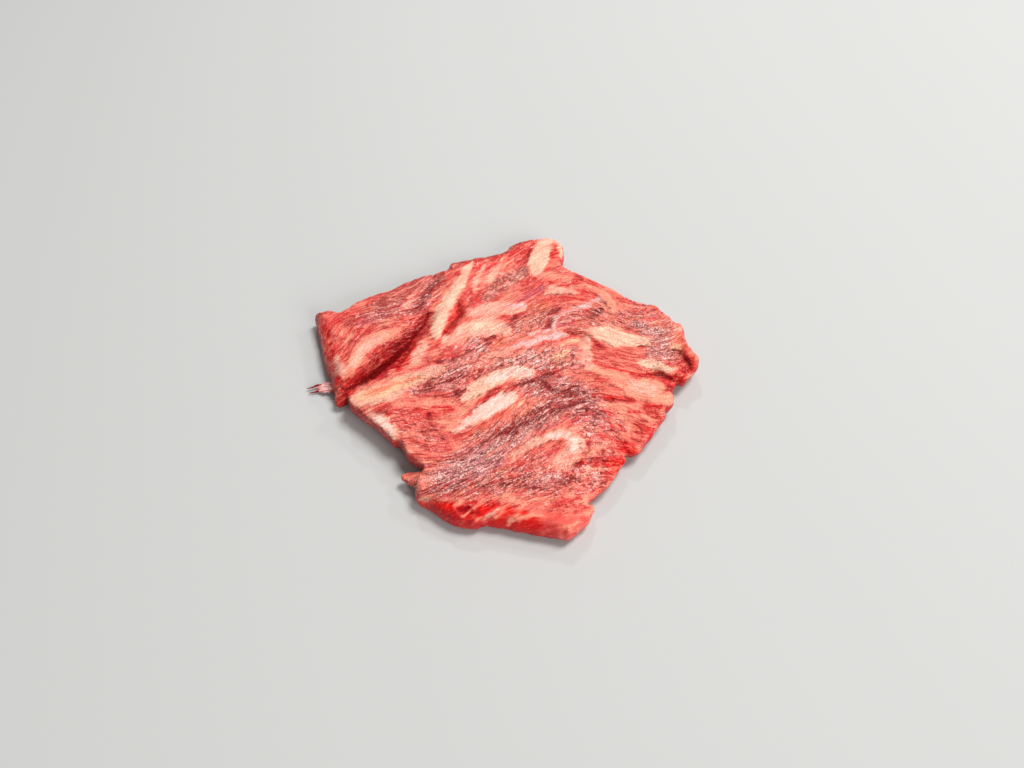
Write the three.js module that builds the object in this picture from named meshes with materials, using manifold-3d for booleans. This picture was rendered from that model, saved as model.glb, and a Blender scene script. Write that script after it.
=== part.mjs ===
import * as THREE from "three";
import { mergeVertices } from "three/addons/utils/BufferGeometryUtils.js";
import Module from "manifold-3d";

// Raw skirt steak: one loose-grained slice of muscle with fat between its bundles, lying flat.
// Millimetres, +Z up. X runs across the slice and Y towards its far tip. The origin is on the
// plane the slice rests on, under the middle of its outline.

const wasm = await Module();
wasm.setup();

// Thickness of the slice over most of its area
const BODY_THICKNESS = 7.4;

// Mesh of the slice: cells along the far left edge and across it, the share of a full cell that
// each of the first cells in from the rim has, and how many of them the rounded underside takes
const CELLS_ALONG = 56;
const CELLS_ACROSS = 42;
const RIM_CELLS = [0.4, 0.7, 0.9];
const UNDERSIDE_CELLS = 5;

// The outline seen from above, clockwise from the left corner, edge by edge.
// level: height of the rim's widest line. roll: how far in the top rounds down to that line.
// tuck: how far in the underside meets the rest plane. corner: a corner of the mesh starts here.
const EDGES = [
  {
    name: "far left edge, thin and rounded", corner: true, level: 2.5, roll: 3.2, tuck: 2.6,
    points: [[-59.5, 18.5], [-57.5, 21], [-54.5, 22.5], [-51.5, 22], [-47.5, 25], [-42.5, 28.5], [-37, 31.5],
      [-31, 36], [-25.5, 38.5], [-19, 41.5], [-17.5, 44], [-10, 46.5], [-3.5, 48.5], [1, 50.5],
      [2.5, 53], [9.5, 56], [16, 56.5]],
  },
  {
    name: "far right edge, from the far tip", corner: true, level: 2.5, roll: 3, tuck: 2.6,
    points: [[19.5, 55], [21.5, 50.5], [21, 46], [20.5, 43], [25.5, 39], [31.5, 35],
      [37, 30], [41.5, 26.5], [49.5, 22.5]],
  },
  {
    name: "thick right corner", level: 3, roll: 2.8, tuck: 3,
    points: [[53.5, 17], [56.5, 14.5], [56.5, 11], [58, 6]],
  },
  {
    name: "near right edge, thin and curled up off the plane", corner: true,
    level: 3.4, roll: 2.2, tuck: 7,
    points: [[60, 1], [59.5, -3.5], [55, -7.5], [52, -8], [50.5, -11], [50.5, -14.5],
      [49, -18], [45, -22], [44, -26], [38, -31.5], [35, -32], [32, -36.5], [29, -41.5],
      [24.5, -45.5]],
  },
  {
    name: "foot, the nearest corner", level: 2.2, roll: 3.4, tuck: 4.5,
    points: [[25.5, -47.5], [23.5, -52], [20, -54.5], [18, -56.5]],
  },
  {
    name: "near edge, a bulging cut face", level: 2, roll: 5.2, tuck: 3,
    points: [[10.5, -55.5], [4.5, -54], [-1.5, -52.5], [-6.5, -53.5], [-13.5, -51.5],
      [-19.5, -48]],
  },
  {
    name: "near left edge", corner: true, level: 2.6, roll: 3, tuck: 3,
    points: [[-22, -46], [-21, -41], [-20.5, -37], [-24.5, -34], [-28.5, -29], [-32.5, -26.5],
      [-37, -21.5], [-42, -17], [-45, -13]],
  },
  {
    name: "left edge, sloping down to the plane", level: 1.5, roll: 4.6, tuck: 1.6,
    points: [[-48, -12], [-50.5, -9], [-52, -5], [-54.5, -0.5], [-57, 7.5], [-58.5, 14]],
  },
];

// How far round the rim the sizes of two neighbouring edges blend into each other, in samples
const RIM_SAMPLES = 900;
const RIM_BLEND = 9;

// Grain: low ridges along the muscle fibres, which fan out from a pole beyond the near left
const GRAIN_HEIGHT = 0.25;
const GRAIN_POLE = [-110, -95];
const GRAIN_PITCH = 6;
const GRAIN_WAVER = { phase: 0.9, length: 44 };

// Swellings and furrows of the muscle bundles. Each follows a path seen from above and fades
// out over its half width; a furrow has a height below 0.
const BUNDLES = [
  { name: "fat ridge beside the fold", height: 1.2, halfWidth: 4.5,
    path: [[-43, -15], [-36.5, -12], [-28.5, -8], [-20.5, -4.5], [-13.5, -2]] },
  { name: "left flap", height: 1.1, halfWidth: 4.5,
    path: [[-46, -6], [-43, 2], [-38, 8], [-32, 12]] },
  { name: "upper middle fat", height: 0.7, halfWidth: 2.8,
    path: [[-9, -16], [-2, -10], [4, -6.5], [9, -5.5]] },
  { name: "lower middle fat", height: 0.6, halfWidth: 3,
    path: [[-11, -26], [-3, -21], [4, -15]] },
  { name: "far fat band", height: 0.7, halfWidth: 2.6,
    path: [[-19, 8], [-19, 17], [-15, 27], [-11, 37]] },
  { name: "right fat field", height: 0.7, halfWidth: 5,
    path: [[29, -6], [39, -9], [47, -15]] },
  { name: "right shoulder fat", height: 0.6, halfWidth: 4,
    path: [[28, 9], [43, 8]] },
  { name: "near hook of fat", height: 0.6, halfWidth: 2.6,
    path: [[8, -31], [15, -28], [21, -29], [20, -34]] },
  { name: "tendon", height: 0.5, halfWidth: 1.6,
    path: [[-2, 0], [3, 4], [8, 6], [13, 8], [18, 10]] },
  { name: "furrow above the middle", height: -1, halfWidth: 3,
    path: [[-25, -12.5], [-15, -9], [-7, -5], [0, 0]] },
  { name: "furrow below the middle", height: -1, halfWidth: 3,
    path: [[-9, -34], [0, -28], [9, -22], [17, -17], [25, -13]] },
  { name: "hollow at the middle", height: -0.8, halfWidth: 3,
    path: [[11, -6], [15, -11]] },
  { name: "slit above the foot", height: -1.6, halfWidth: 1.8,
    path: [[19, -37], [25, -35.5], [31, -36]] },
  { name: "slit in the near right edge", height: -1.3, halfWidth: 1.8,
    path: [[31, -27], [34, -31.5]] },
  { name: "slit under the right corner", height: -1.8, halfWidth: 2,
    path: [[46, -6], [51, -8]] },
  { name: "crease in the right corner", height: -1.8, halfWidth: 2,
    path: [[52, 2], [55, -1], [56, -4]] },
  { name: "crevice beside the far fat band", height: -1.1, halfWidth: 1.8,
    path: [[-17, 11], [-14, 17], [-13, 22]] },
  { name: "far hollow", height: -0.9, halfWidth: 3.4,
    path: [[-27, 29], [-22, 35]] },
  { name: "crumbly hollow near the far tip", height: -0.7, halfWidth: 4,
    path: [[-2, 29], [5, 34]] },
  { name: "sag towards the far tip", height: -1.4, halfWidth: 15,
    path: [[-30, 34], [10, 50]] },
  { name: "sag towards the near right edge", height: -1.8, halfWidth: 9,
    path: [[54, -16], [30, -42]] },
  { name: "hollow in the near face", height: -0.9, halfWidth: 2,
    path: [[-13, -49], [-9, -50]] },
];

// The fold between the left flap and the body: a gully that opens at the left edge.
// Each stop gives its place, the half width of its floor and the floor's depth below the top.
const FOLD_WALL_RUN = 4.6;
const FOLD = [
  { at: [-47, -11.5], floor: 0.3, depth: 4.2 },
  { at: [-40, -9], floor: 0.8, depth: 5 },
  { at: [-35.5, -4.5], floor: 2, depth: 5.4 },
  { at: [-32.5, 1], floor: 1.8, depth: 5 },
  { at: [-29.5, 6], floor: 0.8, depth: 4 },
  { at: [-26, 11], floor: 0.4, depth: 2.8 },
  { at: [-23, 17], floor: 0.2, depth: 1.6 },
  { at: [-21, 22], floor: 0.1, depth: 0.4 },
];

// Small pieces of muscle and membrane that stick out of the rim: centre, half sizes, heading
// about Z in degrees, and the tilt of the outer end.
const TAGS = [
  { name: "muscle tag at the near left corner", at: [-21.8, -39.2, 3.2], size: [5, 2.2, 1.7],
    heading: -8, tilt: 0 },
  { name: "lobe under the fold's mouth", at: [-47, -12.6, 2.6], size: [3.4, 2.4, 2],
    heading: 60, tilt: 0 },
  { name: "membrane sliver", at: [-54.5, -6.2, 0.9], size: [4.4, 1.5, 0.45],
    heading: 4, tilt: 4 },
];
const TAG_SIDES = 20;
const TAG_RINGS = 10;

const lerp = THREE.MathUtils.lerp;

// A quarter of an ellipse: 0 at the rim and 1 from the reach inwards.
function quarterRound(distance, reach) {
  const short = 1 - Math.min(1, distance / reach);
  return Math.sqrt(1 - short * short);
}

// Nearest place on a path: the distance to it, the leg and the share of that leg.
function nearestOnPath(x, y, path) {
  let best = { distance: Infinity, leg: 0, share: 0 };
  for (let leg = 0; leg + 1 < path.length; leg++) {
    const [ax, ay] = path[leg];
    const [bx, by] = path[leg + 1];
    const along = (x - ax) * (bx - ax) + (y - ay) * (by - ay);
    const square = (bx - ax) ** 2 + (by - ay) ** 2;
    const share = THREE.MathUtils.clamp(along / square, 0, 1);
    const distance = Math.hypot(x - lerp(ax, bx, share), y - lerp(ay, by, share));
    if (distance < best.distance) best = { distance, leg, share };
  }
  return best;
}

// Height of the grain's ridges, which waver a little along their length.
function grainHeight(x, y) {
  const [dx, dy] = [x - GRAIN_POLE[0], y - GRAIN_POLE[1]];
  const turn = 2 * Math.PI;
  const radius = Math.hypot(...GRAIN_POLE);
  const waver = GRAIN_WAVER.phase * Math.sin(turn * Math.hypot(dx, dy) / GRAIN_WAVER.length);
  return GRAIN_HEIGHT * Math.sin(turn * radius * Math.atan2(dy, dx) / GRAIN_PITCH + waver);
}

// Height of the top away from the rim.
function crownHeight(x, y) {
  let height = BODY_THICKNESS + grainHeight(x, y);
  for (const bundle of BUNDLES) {
    const { distance } = nearestOnPath(x, y, bundle.path);
    height += bundle.height * Math.exp(-((distance / bundle.halfWidth) ** 2));
  }
  const near = nearestOnPath(x, y, FOLD.map((stop) => stop.at));
  const from = FOLD[near.leg];
  const to = FOLD[near.leg + 1];
  const floor = lerp(from.floor, to.floor, near.share);
  const depth = lerp(from.depth, to.depth, near.share);
  const wall = THREE.MathUtils.smoothstep(near.distance, floor, floor + FOLD_WALL_RUN);
  return height - depth * (1 - wall);
}

// Evenly spaced samples round the outline, each with its edge's sizes blended into the next.
function makeRim() {
  const points = [];
  const owners = [];
  EDGES.forEach((edge) => {
    edge.points.forEach(([x, y]) => {
      points.push(new THREE.Vector3(x, y, 0));
      owners.push(edge);
    });
  });
  const curve = new THREE.CatmullRomCurve3(points, true, "centripetal");
  const rim = curve.getSpacedPoints(RIM_SAMPLES).slice(0, RIM_SAMPLES);
  const edgeAt = rim.map((sample, k) => {
    const t = curve.getUtoTmapping(k / RIM_SAMPLES);
    return owners[Math.min(owners.length - 1, Math.floor(t * owners.length))];
  });
  const blended = (k, size) => {
    let sum = 0;
    for (let step = -RIM_BLEND; step <= RIM_BLEND; step++)
      sum += edgeAt[(k + step + RIM_SAMPLES) % RIM_SAMPLES][size];
    return sum / (2 * RIM_BLEND + 1);
  };
  return rim.map((sample, k) => ({
    x: sample.x,
    y: sample.y,
    edge: edgeAt[k],
    level: blended(k, "level"),
    roll: blended(k, "roll"),
    tuck: blended(k, "tuck"),
  }));
}

// The rim between two mesh corners as a function of the share of its length.
function sideOf(rim, from, to) {
  const count = (to - from + rim.length) % rim.length;
  return (share) => {
    const place = share * count;
    const k = Math.floor(place);
    const a = rim[(from + k) % rim.length];
    const b = rim[(from + k + 1) % rim.length];
    return [lerp(a.x, b.x, place - k), lerp(a.y, b.y, place - k)];
  };
}

// A point inside the outline from the four sides that surround it.
function blendSides(sides, u, v) {
  const [far, right, near, left] = sides;
  const corners = [far(0), far(1), near(0), near(1)];
  return [0, 1].map((axis) => {
    const across = lerp(far(u)[axis], near(1 - u)[axis], v);
    const along = lerp(left(1 - v)[axis], right(v)[axis], u);
    const flat = lerp(lerp(corners[0][axis], corners[1][axis], u),
      lerp(corners[3][axis], corners[2][axis], u), v);
    return across + along - flat;
  });
}

// Elliptic smoothing: evens out the inner points of a grid until no cell folds over.
function relaxGrid(grid, passes) {
  for (let pass = 0; pass < passes; pass++)
    for (let j = 1; j + 1 < grid.length; j++)
      for (let i = 1; i + 1 < grid[j].length; i++) {
        const [e, w, n, s] = [grid[j][i + 1], grid[j][i - 1], grid[j + 1][i], grid[j - 1][i]];
        const du = [(e[0] - w[0]) / 2, (e[1] - w[1]) / 2];
        const dv = [(n[0] - s[0]) / 2, (n[1] - s[1]) / 2];
        const uu = du[0] ** 2 + du[1] ** 2;
        const vv = dv[0] ** 2 + dv[1] ** 2;
        const uv = du[0] * dv[0] + du[1] * dv[1];
        const crossed = (axis) => (grid[j + 1][i + 1][axis] - grid[j - 1][i + 1][axis]
          - grid[j + 1][i - 1][axis] + grid[j - 1][i - 1][axis]) / 4;
        grid[j][i] = [0, 1].map((axis) => (vv * (e[axis] + w[axis]) + uu * (n[axis] + s[axis])
          - 2 * uv * crossed(axis)) / (2 * (uu + vv)));
      }
}

// Shares of a side at which mesh lines start, closer together at both ends.
function meshStations(cells) {
  const widths = new Array(cells).fill(1);
  RIM_CELLS.forEach((width, k) => {
    widths[k] = width;
    widths[cells - 1 - k] = width;
  });
  const total = widths.reduce((sum, width) => sum + width, 0);
  const stations = [0];
  widths.forEach((width) => stations.push(stations.at(-1) + width / total));
  return stations;
}

// Plan of the mesh: rows of points from the far left edge to the near right one.
function makePlan(rim) {
  const starts = [];
  rim.forEach((sample, k) => {
    const before = rim[(k + rim.length - 1) % rim.length];
    if (sample.edge.corner && before.edge !== sample.edge) starts.push(k);
  });
  const sides = starts.map((start, k) => sideOf(rim, start, starts[(k + 1) % starts.length]));
  const fine = [];
  for (let j = 0; j <= 2 * CELLS_ACROSS; j++) {
    fine.push([]);
    for (let i = 0; i <= 2 * CELLS_ALONG; i++)
      fine[j].push(blendSides(sides, i / (2 * CELLS_ALONG), j / (2 * CELLS_ACROSS)));
  }
  relaxGrid(fine, 300);
  const between = (u, v) => {
    const i = Math.min(2 * CELLS_ALONG - 1, Math.floor(u * 2 * CELLS_ALONG));
    const j = Math.min(2 * CELLS_ACROSS - 1, Math.floor(v * 2 * CELLS_ACROSS));
    const [s, t] = [u * 2 * CELLS_ALONG - i, v * 2 * CELLS_ACROSS - j];
    return [0, 1].map((axis) => lerp(lerp(fine[j][i][axis], fine[j][i + 1][axis], s),
      lerp(fine[j + 1][i][axis], fine[j + 1][i + 1][axis], s), t));
  };
  return meshStations(CELLS_ACROSS).map((v) => meshStations(CELLS_ALONG).map((u) => between(u, v)));
}

// The slice: a relief top and a flat-based underside that share the rim's widest line.
function makeSlice() {
  const rim = makeRim();
  const plan = makePlan(rim);
  const vertices = [];
  const faces = [];
  const addVertex = (x, y, z) => vertices.push(x, y, z) / 3 - 1;
  const rimPath = [...rim, rim[0]].map((sample) => [sample.x, sample.y]);
  const ringOf = (i, j) => Math.min(i, j, CELLS_ALONG - i, CELLS_ACROSS - j);

  const top = plan.map((row) => row.slice());
  const underside = plan.map((row) => row.slice());
  plan.forEach((row, j) => row.forEach(([x, y], i) => {
    const ring = ringOf(i, j);
    const { distance, leg } = nearestOnPath(x, y, rimPath);
    const inwards = ring === 0 ? 0 : distance;
    const { level, roll, tuck } = rim[leg];
    const rise = crownHeight(x, y) - level;
    top[j][i] = addVertex(x, y, level + rise * quarterRound(inwards, roll));
    const base = ring < UNDERSIDE_CELLS ? level * (1 - quarterRound(inwards, tuck)) : 0;
    const shared = ring === 0 || ring > UNDERSIDE_CELLS;
    underside[j][i] = shared ? top[j][i] : addVertex(x, y, base);
  }));

  // A cell is split along the flatter of its two diagonals.
  const addCell = (grid, i, j, facesDown) => {
    const [a, b, c, d] = [grid[j][i], grid[j][i + 1], grid[j + 1][i + 1], grid[j + 1][i]];
    const drop = (p, q) => Math.abs(vertices[3 * p + 2] - vertices[3 * q + 2]);
    const split = drop(a, c) <= drop(b, d) ? [a, c, b, a, d, c] : [a, d, b, b, d, c];
    faces.push(...(facesDown ? split.reverse() : split));
  };
  const lastFlat = { i: CELLS_ALONG - UNDERSIDE_CELLS, j: CELLS_ACROSS - UNDERSIDE_CELLS };
  for (let j = 0; j < CELLS_ACROSS; j++)
    for (let i = 0; i < CELLS_ALONG; i++) {
      addCell(top, i, j, false);
      const overBase = i >= UNDERSIDE_CELLS && i < lastFlat.i && j >= UNDERSIDE_CELLS
        && j < lastFlat.j;
      if (!overBase) addCell(underside, i, j, true);
    }

  const base = [];
  for (let i = UNDERSIDE_CELLS; i < lastFlat.i; i++) base.push(underside[UNDERSIDE_CELLS][i]);
  for (let j = UNDERSIDE_CELLS; j < lastFlat.j; j++) base.push(underside[j][lastFlat.i]);
  for (let i = lastFlat.i; i > UNDERSIDE_CELLS; i--) base.push(underside[lastFlat.j][i]);
  for (let j = lastFlat.j; j > UNDERSIDE_CELLS; j--) base.push(underside[j][UNDERSIDE_CELLS]);
  const contour = base.map((k) => new THREE.Vector2(vertices[3 * k], vertices[3 * k + 1]));
  THREE.ShapeUtils.triangulateShape(contour, []).forEach(([a, b, c]) => {
    faces.push(base[a], base[c], base[b]);
  });

  const geometry = new THREE.BufferGeometry();
  geometry.setAttribute("position", new THREE.Float32BufferAttribute(vertices, 3));
  geometry.setIndex(faces);
  return geometry;
}

// A small tapered lump that sticks out of the rim.
function makeTag(tag) {
  const geometry = new THREE.SphereGeometry(1, TAG_SIDES, TAG_RINGS);
  geometry.scale(...tag.size);
  geometry.rotateY(THREE.MathUtils.degToRad(tag.tilt));
  geometry.rotateZ(THREE.MathUtils.degToRad(tag.heading));
  geometry.translate(...tag.at);
  return geometry;
}

// A closed geometry as a solid that can be joined to others.
function solidOf(geometry) {
  geometry.deleteAttribute("normal");
  geometry.deleteAttribute("uv");
  const merged = mergeVertices(geometry, 1e-3);
  return new wasm.Manifold(new wasm.Mesh({
    numProp: 3,
    vertProperties: merged.attributes.position.array,
    triVerts: new Uint32Array(merged.index.array),
  }));
}

function makeSteak() {
  let solid = solidOf(makeSlice());
  for (const tag of TAGS) solid = solid.add(solidOf(makeTag(tag)));
  const mesh = solid.getMesh();
  const geometry = new THREE.BufferGeometry();
  geometry.setAttribute("position", new THREE.BufferAttribute(mesh.vertProperties, 3));
  geometry.setIndex(new THREE.BufferAttribute(mesh.triVerts, 1));
  geometry.computeVertexNormals();
  return geometry;
}

const rawMeat = new THREE.MeshStandardMaterial({ color: 0xd0504a, roughness: 0.35, metalness: 0 });

const steak = new THREE.Mesh(makeSteak(), rawMeat);
steak.name = "skirt_steak";

const part = new THREE.Group();
part.add(steak);

export default part;
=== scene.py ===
import math

import bpy
import numpy as np
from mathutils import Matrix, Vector
from mathutils.geometry import delaunay_2d_cdt
from mathutils.kdtree import KDTree


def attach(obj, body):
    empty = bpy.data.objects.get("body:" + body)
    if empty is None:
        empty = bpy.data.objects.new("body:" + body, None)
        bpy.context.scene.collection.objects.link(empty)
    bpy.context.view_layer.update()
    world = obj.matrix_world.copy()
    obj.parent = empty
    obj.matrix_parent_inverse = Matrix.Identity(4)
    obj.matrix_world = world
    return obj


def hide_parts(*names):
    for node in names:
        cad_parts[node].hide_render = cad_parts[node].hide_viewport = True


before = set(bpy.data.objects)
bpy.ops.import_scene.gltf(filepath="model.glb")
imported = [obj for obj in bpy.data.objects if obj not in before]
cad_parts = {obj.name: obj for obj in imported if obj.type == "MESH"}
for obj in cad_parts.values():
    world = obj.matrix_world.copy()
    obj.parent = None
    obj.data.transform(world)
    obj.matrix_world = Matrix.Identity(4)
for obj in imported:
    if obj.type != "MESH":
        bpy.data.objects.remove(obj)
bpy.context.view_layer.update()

# The camera looks down at the slice from the near side, above and a little to its right.
# The marks on the slice are placed by where this eye sees them on a level plane through it.
EYE_MM = np.array([3.3, -138.9, 175.5])
SIGHT_PLANE_MM = 7.0
MM = 0.001

camera_data = bpy.data.cameras.new("camera")
camera_data.sensor_width = 36.0
camera_data.lens = 25.49
camera_data.clip_start = 0.005
camera = bpy.data.objects.new("camera", camera_data)
camera.location = EYE_MM * MM
camera.rotation_euler = (math.radians(37.5), 0.0, 0.0)
bpy.context.scene.collection.objects.link(camera)
bpy.context.scene.camera = camera

# The slice: raw skirt, one sheet of loose, coarse-grained muscle with fat between its bundles.
# It was cut off the muscle with a knife, so its near edge is a clean face and the rest is ragged.
# It lies flat on its underside, and its left side is folded over into a flap.
BODY_THICKNESS = 7.4

# Outline from above, clockwise from the left corner: rim height, top roll, underside tuck, points
EDGES = [
    (2.8, 2.8, 2.4, [(-59.9, 18.8), (-60, 19.7), (-59.4, 20.1), (-57, 20.9), (-54.5, 21.4),
                     (-51.8, 20.8), (-48, 24.4), (-42.5, 28.3), (-37, 31.3), (-31, 35.8), (-25.5, 38.3),
                     (-19, 41.3), (-17.5, 43.8), (-10, 46.3), (-3.5, 48.3), (1, 50.3), (2.5, 52.7),
                     (9.5, 55.7), (16, 56.2)]),
    (2.8, 2.6, 2.4, [(19.4, 54.8), (21.3, 50.5), (20.8, 46), (20.3, 42.6), (25.2, 38.6), (31, 34.4),
                     (36.2, 31), (40.4, 27.2), (43.2, 25.2), (46.5, 24.2), (50, 22.8)]),
    (3.4, 1.8, 3.0, [(53.2, 18.3), (55, 15.6), (56.4, 15.4), (57.2, 12.6), (57.3, 9.2), (57.8, 6.2)]),
    (4.2, 1.3, 5.0, [(58.8, 3.4), (59.7, 1.6), (59.9, -0.6), (58.6, -2.8), (55.4, -6.6), (54.4, -7.6),
                     (52.3, -7.2), (51.4, -9.2), (50.4, -11.3), (50.6, -14), (49.4, -16.6),
                     (47.6, -18), (47.2, -20), (45, -23), (43, -26), (40.6, -29), (38.6, -31.6),
                     (36.8, -32.5), (34.4, -32.4), (34.6, -34), (32, -38), (30.3, -40.8),
                     (27.6, -43.6)]),
    (2.4, 1.4, 3.0, [(24.4, -46), (23.6, -46.9), (25.2, -47.9), (25.2, -48.5), (24.3, -50.2),
                     (23.2, -52.4), (20.4, -55), (18.2, -56.7), (17.6, -56.9)]),
    (2.0, 4.4, 1.8, [(16.6, -56.6), (10.6, -55.5), (4.5, -54.2), (-0.9, -53.1), (-5, -52.8),
                     (-6.4, -53.5), (-11.9, -52.6), (-18.4, -48.2), (-21.6, -46.4)]),
    (4.6, 1.0, 4.4, [(-22.6, -44.6), (-22.4, -42), (-20.8, -37.4), (-23.2, -35.6), (-25.4, -33.8),
                     (-27, -31), (-28.2, -29.2), (-29.8, -29.2), (-31.2, -27.8), (-35.6, -23.6),
                     (-40.6, -19.6), (-43.4, -17), (-45, -13)]),
    (1.5, 4.6, 1.6, [(-48, -12), (-50, -9), (-51.2, -5), (-53.6, -0.3), (-56.4, 8.5),
                     (-58.8, 15.6)]),
]
RIM_SPACING = 0.42
RIM_BLEND = 4.0
RIM_RAGGED = 0.22

# Swellings and furrows of the bundles: height, half width, path
BUNDLES = [
    (1.2, 4.5, [(-43, -15), (-36.5, -12), (-28.5, -8), (-20.5, -4.5), (-13.5, -2)]),
    (1.1, 4.5, [(-46, -6), (-43, 2), (-38, 8), (-32, 12)]),
    (0.7, 2.8, [(-9, -16), (-2, -10), (4, -6.5), (9, -5.5)]),
    (0.6, 3.0, [(-11, -26), (-3, -21), (4, -15)]),
    (0.7, 2.6, [(-19, 8), (-19, 17), (-15, 27), (-11, 37)]),
    (0.7, 5.0, [(29, -6), (39, -9), (47, -15)]),
    (0.6, 4.0, [(28, 9), (43, 8)]),
    (0.6, 2.6, [(8, -31), (15, -28), (21, -29), (20, -34)]),
    (0.5, 1.6, [(-2, 0), (3, 4), (8, 6), (13, 8), (18, 10)]),
    (-1.0, 3.0, [(-25, -12.5), (-15, -9), (-7, -5), (0, 0)]),
    (-1.0, 3.0, [(-9, -34), (0, -28), (9, -22), (17, -17), (25, -13)]),
    (-0.8, 3.0, [(11, -6), (15, -11)]),
    (-0.9, 1.6, [(20, -37), (26, -35.5), (33, -34.8)]),
    (-1.3, 1.8, [(31, -27), (34, -31.5)]),
    (-1.8, 2.0, [(46, -6), (51, -8)]),
    (-1.8, 2.0, [(52, 2), (55, -1), (56, -4)]),
    (-1.1, 1.8, [(-17, 11), (-14, 17), (-13, 22)]),
    (-0.9, 3.4, [(-27, 29), (-22, 35)]),
    (-0.7, 4.0, [(-2, 29), (5, 34)]),
    (-1.4, 15.0, [(-30, 34), (10, 50)]),
    (-1.8, 9.0, [(54, -16), (30, -42)]),
    (-0.9, 2.0, [(-13, -49), (-9, -50)]),
    (-1.8, 6.0, [(26, -43), (24, -54)]),
]

# The gully between the flap and the body: place, half width of its floor, depth
FOLD_WALL_RUN = 4.0
FOLD = [
    (-47, -11.5, 0.3, 4.2), (-41, -8.4, 0.8, 5.0), (-36.6, -3.8, 1.8, 5.6), (-33.2, 1.6, 1.6, 5.2),
    (-30, 6.8, 0.8, 4.0), (-26.4, 11.8, 0.4, 2.8), (-23.2, 17.4, 0.2, 1.6), (-21, 22, 0.1, 0.4),
]

# Direction of the muscle fibres: place, degrees from +X
FIBRES = [
    (-12, 38, 65), (-5, 38, 70), (3, 42, 65), (-17, 30, 65), (-19, 15, 85), (-30, 27, 60),
    (-40, 22, 50), (-48, 17, 35), (12, 45, 68), (17, 45, 80), (-43, 0, 75), (-38, 8, 35),
    (-52, 0, 107), (-55, 8, 107), (-30, -10, 28), (-38, -13, 24), (-20, -5, 28), (-10, -10, 40),
    (0, -7, 35), (8, -5, 15), (-5, 3, 40), (0, 8, 40), (8, 14, 45), (-8, 13, 28), (0, 20, 5),
    (9, 27, 28), (15, 30.5, 22), (21, 33, 0), (27, 31.5, -25), (20, 25, 8), (28, 27, -20),
    (10, 6, 22), (15, -12, 30), (5, -20, 38), (0, -27, 30), (-8, -35, 35), (-15, -34, 50),
    (5, -35, 38), (10, -42, 10), (0, -46, 10), (-15, -46, 10), (15, -52, -20), (22, 24, 20),
    (30, 10, -5), (40, 8, -10), (35, 0, 0), (45, 3, 0), (40, -12, -10),
    (31, -26, -60), (40, -24, -55), (25, -36, 10), (27, -42, 20), (22, -22, 30), (30, 25, -40),
    (36, 22, -55), (-28, -22, -20), (-22, -28, -75), (-17, -25, -50),
]
FIBRE_REACH = 22.0
FIBRE_EVENNESS = 0.45

# Colours of the tissues as they look in even light; some also paint light: glints in sheen, shade in dark
# reds
TISSUE = {
    "cream": (246, 196, 168), "butter": (246, 190, 150), "blush": (240, 174, 152),
    "peach": (245, 150, 124), "apricot": (240, 134, 102), "pearl": (230, 182, 176),
    "salmon": (228, 92, 82), "coral": (243, 128, 110), "rose": (222, 62, 58),
    "scarlet": (232, 20, 12), "crimson": (186, 16, 24), "maroon": (116, 4, 8),
    "plum": (206, 100, 98), "mauve": (222, 132, 130), "dusk": (220, 130, 118),
    "rust": (224, 106, 78), "brick": (150, 46, 42), "wine": (202, 80, 90),
    "pink": (228, 152, 146), "shell": (248, 208, 192), "sheen": (254, 232, 222),
    "cerise": (204, 30, 56), "russet": (196, 62, 52), "orchid": (214, 122, 132),
    "umber": (204, 118, 102), "shaded_lean": (166, 70, 64), "flesh": (246, 180, 168),
}

DEEP_REDS = ("scarlet", "crimson", "cerise", "maroon", "brick", "rose", "russet", "shaded_lean")
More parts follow.
